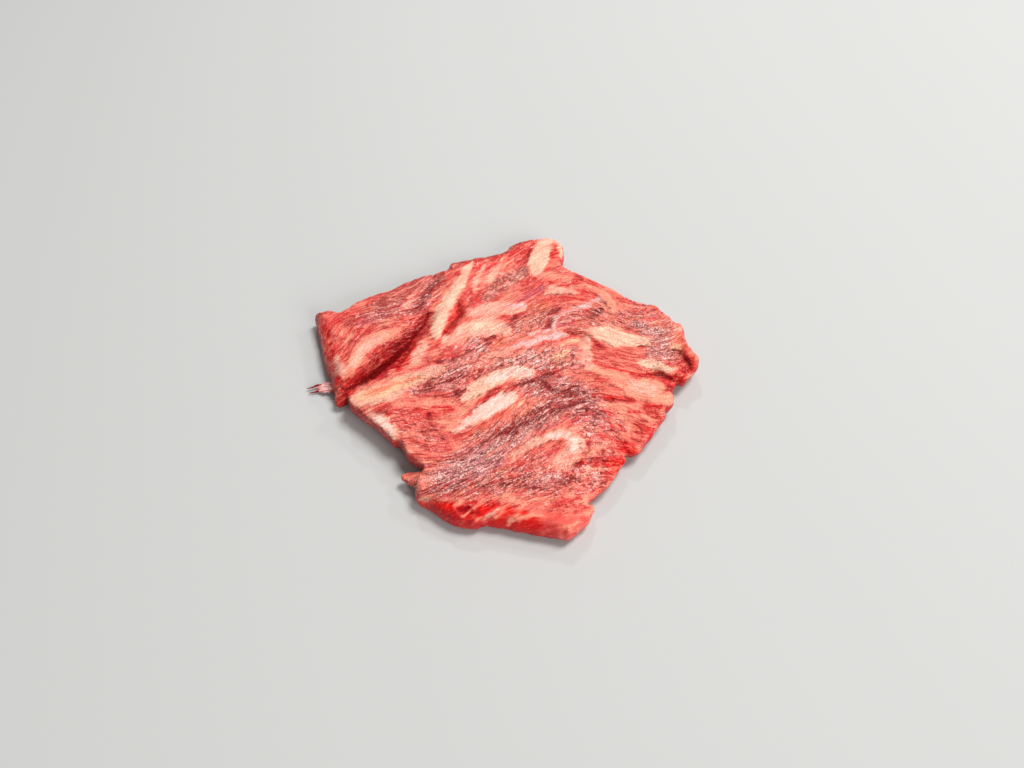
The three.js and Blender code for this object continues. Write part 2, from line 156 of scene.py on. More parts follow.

# Lean meat of other colours, and painted shade: tissue, strength, softness, path of (x, y, width)
LEAN = [
    ("rose", 0.8, 2.0, [(-52, 13, 5), (-45, 17, 6), (-36, 22, 6)]),
    # painted shade over the far left part
    ("shaded_lean", 0.8, 3.0, [(-47, 15, 4), (-38, 20, 8), (-30, 26, 9), (-24, 32, 6)]),
    ("rose", 0.6, 1.5, [(-50, 18, 2.5), (-44, 22, 3), (-36, 28, 3)]),
    ("wine", 0.75, 1.6, [(-43, 15, 4), (-36, 20, 5.5), (-30, 25, 5), (-27, 30, 4)]),
    ("russet", 0.85, 2.5, [(-42, 20, 4), (-36, 25, 6), (-30, 29, 6), (-25, 33, 4)]),
    # more painted shade over the far left part
    ("shaded_lean", 0.8, 1.5, [(-39, 22, 4), (-33, 27, 5), (-27, 32.6, 4)]),
    ("scarlet", 1.0, 0.8, [(-56, 13, 2), (-53.2, 5, 2.6), (-51.2, -2, 2.8), (-48.6, -9, 3)]),
    ("crimson", 0.7, 0.5, [(-54, 12, 0.8), (-51.8, 5, 0.9), (-49.8, -2, 0.9), (-47.6, -8, 0.9)]),
    ("coral", 0.7, 1.2, [(-50.5, 12, 4), (-48, 6, 3), (-46, 2, 2)]),
    ("rose", 0.7, 1.0, [(-48.4, 5.4, 2), (-46.6, 2, 2.6), (-46, -1.6, 1.6)]),
    ("crimson", 0.75, 1.2, [(-39.5, 17, 3), (-35.5, 19.5, 4), (-31, 21, 3)]),
    ("brick", 0.8, 1.0, [(-27.5, 19.5, 3), (-25, 24, 3), (-24, 29, 3), (-21.5, 33, 3), (-20, 36, 2.5)]),
    ("scarlet", 0.75, 1.0, [(-16.5, 11.5, 3), (-15.5, 17, 4), (-13, 23, 3)]),
    ("scarlet", 0.6, 1.0, [(-19, 7, 3), (-17, 9, 2.5)]),
    ("rose", 0.8, 1.2, [(-14, 36, 3), (-9, 31, 4), (-8, 25, 4)]),
    ("scarlet", 0.7, 1.6, [(-7, 40, 3.5), (-3.5, 43, 5), (3, 47, 6)]),
    ("rose", 0.9, 1.6, [(4, 41, 3), (8, 48, 4)]),
    ("rose", 0.9, 1.8, [(-20, 40, 4), (-6, 44.6, 6), (2, 49, 6), (8, 53, 4)]),
    ("brick", 0.5, 1.4, [(-22, 38, 2), (-12, 43, 3), (-2, 46.6, 3), (6, 52, 2)]),
    ("scarlet", 0.7, 0.7, [(17.6, 50.5, 2.4), (17.4, 46, 3), (16, 42, 3), (15, 38.5, 2.2)]),
    ("umber", 0.9, 0.8, [(-4.7, 24.9, 3), (-3, 29, 4), (0, 32, 4.6), (4, 35.4, 5), (7.6, 37.6, 4)]),
    ("wine", 1.0, 0.8, [(1, 24.6, 1.6), (5.2, 24.8, 2.6), (9.1, 27, 3), (12.4, 29.2, 2.6),
                       (15.4, 31, 1.4)]),
    ("rose", 0.9, 0.8, [(15.6, 32.4, 1.4), (20.8, 34.6, 2.4), (25.7, 33.4, 2.8), (29.6, 30.4, 2)]),
    ("rose", 0.85, 0.8, [(14.6, 24.4, 1.6), (19.4, 24.9, 2.4), (24.6, 25.8, 2.8), (29.4, 27, 2)]),
    # a pit, with shade painted maroon in it
    ("maroon", 0.9, 0.7, [(27.4, 16.6, 1.4), (29.9, 18.7, 3), (31.8, 20.7, 1.6)]),
    ("rust", 0.95, 1.4, [(-1, 5, 4), (3, 8, 5), (7, 12, 5), (10, 16, 5), (14, 19, 4)]),
    ("russet", 0.7, 0.9, [(3.4, 13, 1.6), (5, 16.6, 2.4), (8.6, 19.6, 1.8)]),
    ("russet", 0.6, 0.9, [(9, 12, 1.4), (12, 16, 2), (15, 18.6, 1.6)]),
    ("rust", 0.75, 1.2, [(7, 21, 3), (14, 22, 3.4)]),
    ("rust", 0.65, 1.4, [(21, 12, 4), (28, 14.5, 5)]),
    ("rust", 0.6, 1.2, [(33, 18, 3), (34, 23.5, 3)]),
    ("rust", 0.65, 1.4, [(51, 16, 3.5), (54, 11, 4), (55.5, 5, 3.5)]),
    ("wine", 0.85, 0.9, [(18, 12.5, 3.6), (20.5, 15.5, 4.6)]),
    ("rust", 0.7, 1.2, [(-8, -27.5, 2.5), (-2, -23.5, 3), (5, -18, 3.2), (8, -15.5, 2.8)]),
    ("rust", 0.6, 1.2, [(-6, -8.5, 2.5), (-1, -3.5, 3)]),
    ("mauve", 0.55, 2.0, [(-24, -10, 7), (-15, -6, 10)]),
    ("mauve", 0.5, 1.5, [(-9.5, 4, 4), (-6, 8, 5)]),
    ("dusk", 0.8, 1.5, [(0.5, -2.5, 5), (8, 1, 6)]),
    ("dusk", 0.75, 1.8, [(9, 0, 5), (16, 3, 5), (23, 0, 6)]),
    ("plum", 0.65, 2.0, [(9, -8, 6), (16, -11, 9), (23, -13, 7)]),
    ("plum", 0.6, 2.0, [(-8, -33, 4), (3, -27, 6), (14, -19.5, 7), (25, -18, 7)]),
    ("pink", 0.85, 1.2, [(43, 14, 4), (48, 9, 7), (49, 4, 7), (46.5, 1.6, 4)]),
    ("coral", 0.7, 1.2, [(53, 17, 3), (54, 10, 4)]),
    ("salmon", 0.9, 1.2, [(28.8, 2.4, 5), (33.4, 0.4, 7), (39, -0.6, 6.4), (41, -3, 4)]),
    ("salmon", 0.9, 1.2, [(27, -10.4, 3.4), (30.8, -9.4, 4.6), (34, -10.2, 3)]),
    ("salmon", 0.9, 1.0, [(10, -33.8, 2.4), (13.6, -31.8, 4.4), (17, -31, 4)]),
    ("cerise", 0.45, 1.0, [(12, -34, 1.6), (15.6, -32.6, 2.6)]),
    ("crimson", 0.8, 0.8, [(10.6, -4.4, 1.4), (14, -5.4, 2.6), (17, -7, 1.6)]),
    ("crimson", 0.75, 0.6, [(-15.6, -8.4, 1), (-12, -7.6, 1.6), (-9.6, -6.6, 1)]),
    ("crimson", 0.7, 0.8, [(-14.6, -13.6, 1), (-11.4, -12.4, 1.8)]),
    ("scarlet", 0.8, 0.7, [(24, -38.4, 1.6), (28, -37.4, 2.4), (32, -36, 1.6)]),
    ("scarlet", 0.9, 0.5, [(25.6, -41.4, 1.2), (29, -40, 2), (30.4, -39, 1)]),
    ("wine", 0.7, 1.0, [(21.5, -24, 3), (25.5, -22.5, 4)]),
    ("mauve", 0.6, 1.0, [(25.5, -24, 3), (28, -21.5, 3)]),
    ("mauve", 0.85, 2.0, [(-13, -39.5, 7), (-7, -35.5, 9), (-2, -34, 6)]),
    ("orchid", 1.0, 1.6, [(-14, -41, 4), (-9, -38.4, 6.4), (-5.4, -36.4, 6.4), (-1, -34, 4)]),
    ("mauve", 0.6, 1.5, [(10.5, -43, 3), (15, -41, 4)]),
    ("coral", 0.8, 1.0, [(9, -41, 3), (12.5, -38.5, 3)]),
    ("crimson", 0.6, 1.5, [(-20, -45, 3), (-8, -43, 4)]),
    ("salmon", 0.7, 1.5, [(-20, -27, 5), (-15, -22, 5)]),
    ("scarlet", 0.45, 1.5, [(-33, -22, 4), (-25, -21, 7)]),
    ("scarlet", 0.6, 1.0, [(-19, -19.5, 3), (-15, -18, 2.6)]),
    ("scarlet", 1.0, 1.2, [(-21, -47.5, 2.5), (-16, -50, 4), (-9, -51.5, 6.5), (0, -52, 6),
                           (9, -54.5, 5)]),
    ("salmon", 0.9, 1.5, [(12, -52, 5), (21, -52.6, 7)]),
    # the foot of the near face, darker towards the floor: painted shade
    ("crimson", 0.9, 1.0, [(-14, -53.4, 1.6), (-5, -56, 3), (5, -57.4, 3), (14, -58.6, 2.4)]),
    ("crimson", 0.9, 0.6, [(-18.6, -50, 1.6), (-14, -51.4, 2.2), (-11, -53, 1.6)]),
    # two holes in the near face, with shade painted maroon in them
    ("maroon", 0.9, 0.5, [(-10.6, -51, 1.2), (-8.4, -50.3, 1.3)]),
    ("maroon", 0.8, 0.5, [(-7.3, -51.9, 1.2), (-5.6, -51.4, 1.1)]),
    ("coral", 0.8, 1.0, [(-20, -41, 4), (-26, -41.5, 3)]),
    ("scarlet", 0.9, 0.8, [(-45, -16, 4), (-44, -9, 3.5)]),
    ("cerise", 0.9, 1.0, [(-35.4, -6, 3), (-31.9, -2, 4.4), (-28.6, 1.4, 3)]),
    ("scarlet", 0.85, 0.8, [(-30.5, -4, 2.4), (-28.5, 1, 3), (-27, 6, 3)]),
    ("crimson", 0.95, 0.9, [(-43, -8.4, 1.8), (-39, -4, 3), (-35.4, 0.4, 3.8), (-31.4, 5.4, 3.6),
                            (-27.8, 10, 3), (-24.8, 15, 2.4), (-23.4, 20, 1.6)]),
    ("scarlet", 1.0, 0.4, [(26.6, -14.3, 1.4), (29.6, -14.1, 2), (32.4, -14.7, 1.2)]),
    ("russet", 0.95, 0.5, [(37.6, -28.4, 3), (38.8, -25.4, 4.4), (39.8, -23, 3.4)]),
    ("russet", 0.95, 0.5, [(41.2, -17.4, 1.8), (43, -19.4, 3.4), (43.6, -21.6, 2.4)]),
    ("crimson", 0.8, 0.6, [(37.4, 17.9, 1.8), (38.9, 16.3, 2.2), (37.9, 14.4, 1.8), (40.1, 12.6, 1.4)]),
    ("crimson", 0.8, 0.4, [(41.6, -16, 0.7), (43.2, -17.2, 1), (45.4, -18, 0.8)]),
    ("crimson", 0.8, 0.6, [(20.7, -36.6, 1.2), (25.4, -35.4, 2.4), (29, -36.2, 1.2)]),
    ("scarlet", 1.0, 0.6, [(26, -36.6, 1.6), (29.8, -36.4, 2.4), (33.2, -36.4, 1.6)]),
    ("scarlet", 1.0, 0.6, [(31.9, -27.9, 1.4), (34.3, -31.6, 2.4), (36.9, -33.6, 1.8)]),
    ("cerise", 0.8, 0.6, [(22.8, -30.6, 1.4), (22.8, -32.6, 2.2)]),
    ("scarlet", 0.8, 0.5, [(44, -16.5, 1.1), (47.6, -18.4, 1.1)]),
    ("crimson", 0.8, 0.6, [(47, -12.6, 2.2), (49.6, -10.6, 2.2)]),
    ("scarlet", 0.95, 0.5, [(28.6, -20.6, 0.8), (30.4, -24, 1.4), (32.6, -28.5, 1.8)]),
    ("scarlet", 0.85, 0.5, [(33.8, -24, 1), (35, -28, 1.2)]),
    ("rose", 0.8, 0.7, [(39, -19, 1.2), (36.8, -19.6, 1.8)]),
    ("scarlet", 1.0, 0.6, [(32.5, -29.5, 2), (35, -32, 2.2), (37, -33, 2)]),
    ("scarlet", 0.7, 0.6, [(33, -4.2, 1), (38.4, -5, 1.6), (42.4, -5.7, 2), (45.8, -5.4, 1.4)]),
    # a groove, with shade painted maroon in it
    ("maroon", 0.85, 0.5, [(45.6, -5.6, 0.8), (48.8, -6.8, 1.8), (51.4, -8.4, 1.2)]),
    ("scarlet", 1.0, 0.5, [(50.4, -6.6, 1), (52.7, -8, 2), (54.6, -8.4, 1.6)]),
    ("crimson", 0.8, 0.5, [(51.6, 0.6, 1), (53, -2, 2.6), (54.4, -4.4, 2)]),
    ("scarlet", 0.9, 0.5, [(55.6, 4, 1.2), (57.4, 0, 1.8), (57, -4.4, 1.8)]),
    # a groove at the right corner, with shade painted maroon in it
    ("maroon", 0.7, 0.4, [(54.4, 3.6, 0.6), (56, 0.6, 0.9), (56, -3, 0.7)]),
    ("crimson", 0.7, 0.6, [(39, 19, 1.5), (37.5, 16.5, 1.5), (36.8, 14.5, 1.3)]),
    ("crimson", 0.7, 0.6, [(43, 14.5, 1.2), (40.5, 12.5, 1.4), (38.5, 11.5, 1.1)]),
    ("crimson", 0.6, 0.8, [(-1.5, -3.5, 1.5), (1.5, 1, 1.5)]),
    ("crimson", 0.6, 0.8, [(-18.4, -41.4, 1.2), (-14, -41.4, 1.2)]),
    ("scarlet", 0.7, 0.8, [(20, -40, 3), (27, -40.5, 3), (31, -38, 2)]),
]

# Fat and film: tissue, strength, path of (x, y, width)
FAT = [
    # the thick ridge beside the fold, its warmer core and its lip
    ("blush", 1.0, [(-41.5, -15.5, 4.6), (-37, -14, 7), (-32, -11.5, 7), (-27, -8.5, 5.6),
                    (-22, -6, 4.4), (-18, -4, 3)]),
    ("butter", 1.0, [(-40, -14.5, 3), (-34, -11.8, 4.4), (-29, -9.3, 3.4), (-24, -7, 2.2)]),
    ("apricot", 0.8, [(-39, -13.6, 0.8), (-34, -11, 1.2), (-29, -8.8, 1), (-24, -7, 0.7)]),
    ("peach", 0.8, [(-43.8, -12, 1), (-39, -10.6, 1.4), (-35, -8.6, 1.4), (-31, -5.8, 1.4),
                    (-27.8, -4, 1)]),
    # the two bars in the middle
    ("cream", 1.0, [(-10.6, -14.8, 2.6), (-8, -11.9, 4.6), (-4, -9, 5.4), (0.9, -6, 4.6),
                    (5.1, -4.9, 4.4), (8.8, -5.1, 3.6)]),
    ("blush", 1.0, [(-12.6, -26.1, 1.2), (-7.7, -22.2, 3.2), (-5, -19.3, 5), (-0.7, -16.5, 6),
                    (2.6, -14.4, 4.6)]),
    ("shell", 1.0, [(-11, -25, 0.8), (-7.4, -21.8, 2.4), (-4.6, -18.9, 4.2), (-0.6, -16.3, 5),
                     (2.4, -14.4, 3.4)]),
    ("shell", 1.0, [(-3, -8.2, 2.4), (1.4, -5.8, 3.4), (5.1, -4.9, 3.4), (8.4, -5.1, 2.4)]),
    ("butter", 0.6, [(6, -13, 1.4), (5.3, -16.5, 2), (3.3, -19.3, 1.6), (0.8, -21.7, 1)]),
    # the far band and the streaks that fan out towards the far edge
    ("cream", 1.0, [(-20, 9.5, 3.2), (-19.7, 14, 4), (-19, 19, 4.5), (-17, 25.5, 4.3),
                    (-15, 29.5, 4), (-13, 34, 3.4), (-12, 38, 2.6), (-10, 42.5, 1.2)]),
    ("apricot", 0.7, [(-22, 20.4, 0.8), (-19.6, 26, 1), (-17.2, 30, 0.8)]),
    ("blush", 0.8, [(-8.8, 27.6, 1), (-8.8, 31, 1.8), (-8.4, 34, 1.8), (-7.2, 37.2, 1.6),
                    (-6, 39.6, 1.2), (-4.8, 42.8, 0.8)]),
    ("blush", 0.95, [(-4, 32.8, 2.2), (-3.2, 36, 2.5), (-2, 38.4, 1.8), (-0.4, 41.2, 1.2),
                     (0, 44, 0.8)]),
    ("peach", 0.7, [(0, 37, 0.8), (1.2, 44, 0.8)]),
    ("peach", 0.7, [(2, 37.2, 1), (3.6, 41.5, 1)]),
    ("peach", 0.7, [(4, 37.2, 0.8), (4.8, 40.4, 0.8)]),
    ("cream", 1.0, [(15, 53, 4.4), (14, 49, 5), (12.8, 45.4, 6), (11.8, 41.2, 5.4), (11.4, 37, 3.6)]),
    ("cream", 0.8, [(18.4, 52.6, 1.2), (19.9, 49, 1.5), (20.6, 44.6, 1.3), (20.2, 41.6, 0.9)]),
    ("blush", 0.7, [(16.6, 41, 1.6), (18, 41.6, 1.8)]),
    ("blush", 0.85, [(-31.2, 22, 2), (-29.5, 25, 2), (-28.6, 26.8, 1.6), (-27, 30.8, 1.4),
                     (-25.4, 33.2, 1)]),
    ("apricot", 0.7, [(-39, 20.4, 1.2), (-35.8, 24.8, 1.5), (-33.4, 28, 1.5), (-29, 32.4, 1)]),
    ("apricot", 0.6, [(-48.6, 19.2, 1.4), (-45, 22, 2), (-41.4, 25.2, 1.2)]),
    # the flap
    ("peach", 1.0, [(-46, -7, 2.5), (-44.2, -3, 4), (-43, 1, 4.5), (-41.5, 5, 4.6), (-38, 8, 4.2),
                    (-34.5, 10, 3.4), (-31.5, 12, 1.8)]),
    ("blush", 0.8, [(-44.4, -2, 2), (-42.8, 2, 2.6), (-40.5, 6, 2.4), (-36, 9, 1.6)]),
    ("blush", 0.85, [(-49.8, 0.8, 1), (-48.8, -2.4, 2.4), (-47.2, -5.4, 2.6)]),
    ("apricot", 0.9, [(-58, 13, 0.9), (-56.2, 6, 1), (-54, -1, 1.1), (-51.8, -7, 1)]),
    ("peach", 0.6, [(-51.8, -2.5, 1.4), (-51.4, -6.4, 1.2)]),
    # pale streaks on the fold's left wall: membrane strands, with their wet glints painted in
    ("pearl", 0.9, [(-41.4, -10.8, 0.4), (-40, -8.8, 0.7), (-38.8, -6, 0.5), (-37.4, -3.4, 0.7),
                    (-35.6, -0.6, 0.4)]),
    ("pearl", 0.8, [(-40.2, -10.4, 0.3), (-39.2, -8.4, 0.4), (-38, -5.4, 0.3)]),
    ("peach", 0.6, [(-34.6, -6.6, 0.5), (-31.4, -5, 0.7), (-28, -3.4, 0.7), (-24, -2, 0.5)]),
    ("blush", 0.7, [(-49.8, -6.6, 1.6), (-48.4, -5.6, 1.6)]),
    # the silky field beyond the middle
    ("blush", 0.85, [(-16.5, 7.5, 4), (-12, 11, 5), (-7, 13, 7), (-2, 13, 7), (1.5, 12, 4)]),
    ("cream", 0.9, [(-13, 11.5, 3), (-8, 13, 4), (-2, 13, 3.6)]),
    ("blush", 0.85, [(-9, 19, 4), (-4, 20.5, 6.4), (2, 20.5, 5.4), (6.5, 21, 3)]),
    ("pearl", 0.8, [(2, 21.6, 2), (7, 22, 2)]),
    ("blush", 0.95, [(14.2, 27.2, 1.2), (17, 29.2, 3.6), (20.5, 28.8, 3), (24, 27.6, 1)]),
    ("peach", 0.8, [(12.6, 35.5, 2), (17, 35.6, 2.6), (22, 34.4, 2)]),
    ("peach", 0.6, [(2.5, 27, 1), (6, 27, 1)]),
    # the right side: back right streak, shoulder, upright streak and corner
    ("peach", 0.95, [(26.6, 31.8, 1.2), (28.8, 30.6, 2.4), (31.9, 28.2, 3.2), (34.2, 24.4, 3),
                     (35.4, 21, 2)]),
    ("cream", 1.0, [(28.6, 11.2, 3), (31.6, 10.2, 6), (35, 8.6, 7), (39, 7.4, 4.6), (44, 7, 3.4)]),
    ("blush", 0.95, [(26.5, 8, 2.4), (26, 4, 3.4), (25.5, 0, 3.4), (26.5, -3, 3), (29, -5, 2.4)]),
    ("peach", 0.6, [(30.6, 3.2, 1.2), (33, 3.2, 1.2)]),
    ("cream", 0.95, [(42.6, -1.6, 2.4), (46.1, -2.4, 4), (50.3, -4.4, 2.4)]),
    ("cream", 0.9, [(39.7, 8.5, 3), (43.4, 7.4, 2.6)]),
    ("butter", 1.0, [(52.6, 5, 2.6), (54, 4.6, 2.4)]),
    ("apricot", 0.8, [(55.2, 4.6, 0.8), (57.6, 2.4, 1), (58.6, 0, 0.8)]),
    ("blush", 0.8, [(54.4, 12.4, 1.4), (55.4, 11.6, 1.2)]),
    # the broad warm field behind the near right edge
    ("peach", 0.95, [(28, -4.4, 2), (32.9, -5.8, 3.4), (36.3, -7.8, 5), (39, -11, 7), (44, -12.2, 8.2),
                     (48.4, -15.4, 3.4)]),
    ("peach", 0.75, [(30, -17, 2), (36, -17.5, 3), (40, -17.4, 2)]),
    ("blush", 0.6, [(39, -10, 3), (43.5, -12, 4)]),
    ("peach", 0.7, [(33.4, -18, 1.2), (35.6, -22, 1.4), (36, -26, 1)]),
    ("peach", 0.75, [(37.6, -20.6, 1.2), (40.4, -21.4, 1.6), (42.6, -22.6, 1.2)]),
    ("peach", 0.6, [(31.4, -22, 0.5), (33.4, -26, 0.6), (35.6, -30, 0.5)]),
    ("peach", 0.7, [(38, -32, 1.6), (39.4, -33, 1.4)]),
    # the near hook and the foot
    ("blush", 0.95, [(4, -34, 1), (8.2, -30.8, 2), (13.4, -27.8, 2.8), (18.6, -27.4, 3.4),
                     (21.6, -29.8, 3.6), (20, -33.8, 4.6), (16.4, -37, 3.6)]),
    ("shell", 0.5, [(13, -28, 0.8), (18.6, -27.6, 1.2), (21, -29.8, 1.4), (19.6, -33, 1)]),
    ("peach", 0.9, [(19.6, -36.4, 1.2), (23.5, -34, 1.6), (27.1, -31.6, 1.6), (28.9, -30.4, 1)]),
    ("blush", 0.75, [(20.5, -43, 1.6), (23, -40, 2.6), (24, -37.6, 1.6)]),
    ("blush", 0.7, [(24.4, -38.4, 1), (28, -38, 1)]),
    ("peach", 0.8, [(23.4, -51, 1), (24.6, -49.2, 1)]),
    # the near left part
    ("blush", 1.0, [(-37, -20, 2), (-34.6, -21.6, 3.4), (-32.6, -23.4, 3.8), (-30.4, -26.4, 3),
                    (-29, -28.8, 1.2)]),
    ("shell", 0.8, [(-34.6, -21.8, 1.4), (-32.6, -23.6, 2.2), (-30.8, -26, 1.4)]),
    ("peach", 0.75, [(-30, -17.5, 1.6), (-25, -17, 2), (-20, -15.5, 2), (-15, -15.5, 2),
                     (-12.5, -17, 1.8), (-11.5, -20, 1.8), (-13, -23, 1.8), (-14.5, -25, 1.4)]),
    ("blush", 0.8, [(-26, -1, 2.4), (-25, 2, 2.8), (-23, 5, 2)]),
    ("blush", 0.8, [(-6, -3.4, 1.4), (-1.2, -1, 2)]),
    ("butter", 0.5, [(15, -0.6, 2.6), (19.6, 3, 3)]),
    ("butter", 0.6, [(18, 5, 2), (22, 7.5, 2.4)]),
    ("apricot", 0.6, [(7.6, -19, 1.4), (10, -15.5, 1.6)]),
    # the near cut face and its pale upper edge
    ("blush", 0.65, [(-22, -47.2, 0.6), (-19.6, -47.8, 0.9), (-15.5, -47.6, 0.7), (-11.3, -47.4, 0.9),
                     (-9.7, -49, 0.6)]),
    ("peach", 0.85, [(-11.3, -50, 0.6), (-10.8, -51.6, 0.9), (-9, -52.1, 0.7), (-7.6, -50.6, 0.6)]),
    ("blush", 0.85, [(-3.6, -53.9, 0.8), (-1.7, -51.4, 1.4), (0.5, -50.3, 1)]),
    ("peach", 0.8, [(0.8, -48.1, 0.9), (2.1, -46.7, 1.6), (4.7, -48.1, 1.4), (6.7, -49.2, 1)]),
    ("peach", 0.85, [(2.3, -54.6, 0.8), (3.1, -52.8, 1.2), (5, -51, 1.4), (6.7, -48.8, 1.2)]),
    ("peach", 0.8, [(5.7, -52.8, 0.8), (8.2, -52.3, 1.4), (10.8, -52.4, 0.9)]),
    ("peach", 0.8, [(-11, -49.5, 0.9), (-8, -49, 1.1), (-6, -50.5, 0.9)]),
    ("peach", 0.7, [(-6.5, -52.5, 0.7), (-6, -54.5, 0.7)]),
    # the tendon, its branch and the threads beside it
    ("pearl", 0.85, [(16.5, 15.7, 0.8), (20.4, 19.2, 1.4), (25, 20.9, 1.8), (30.3, 24.4, 1.6),
                      (32, 26, 1)]),
    ("pearl", 1.0, [(-4.4, 0.5, 1.2), (0.4, 2.2, 1.8), (5, 5, 2.2), (12, 7.8, 2.3), (19.6, 9.5, 2)]),
    ("peach", 0.6, [(-4.4, 0.5, 1), (0.4, 2.2, 1.2), (4, 4.2, 0.8)]),
    ("pearl", 0.9, [(16.5, 10.5, 1.2), (16.2, 14, 1.4), (17, 18, 1.2)]),
    ("pearl", 0.8, [(9.6, 9.8, 0.8), (13, 11, 0.9), (16.4, 12, 0.8)]),
]
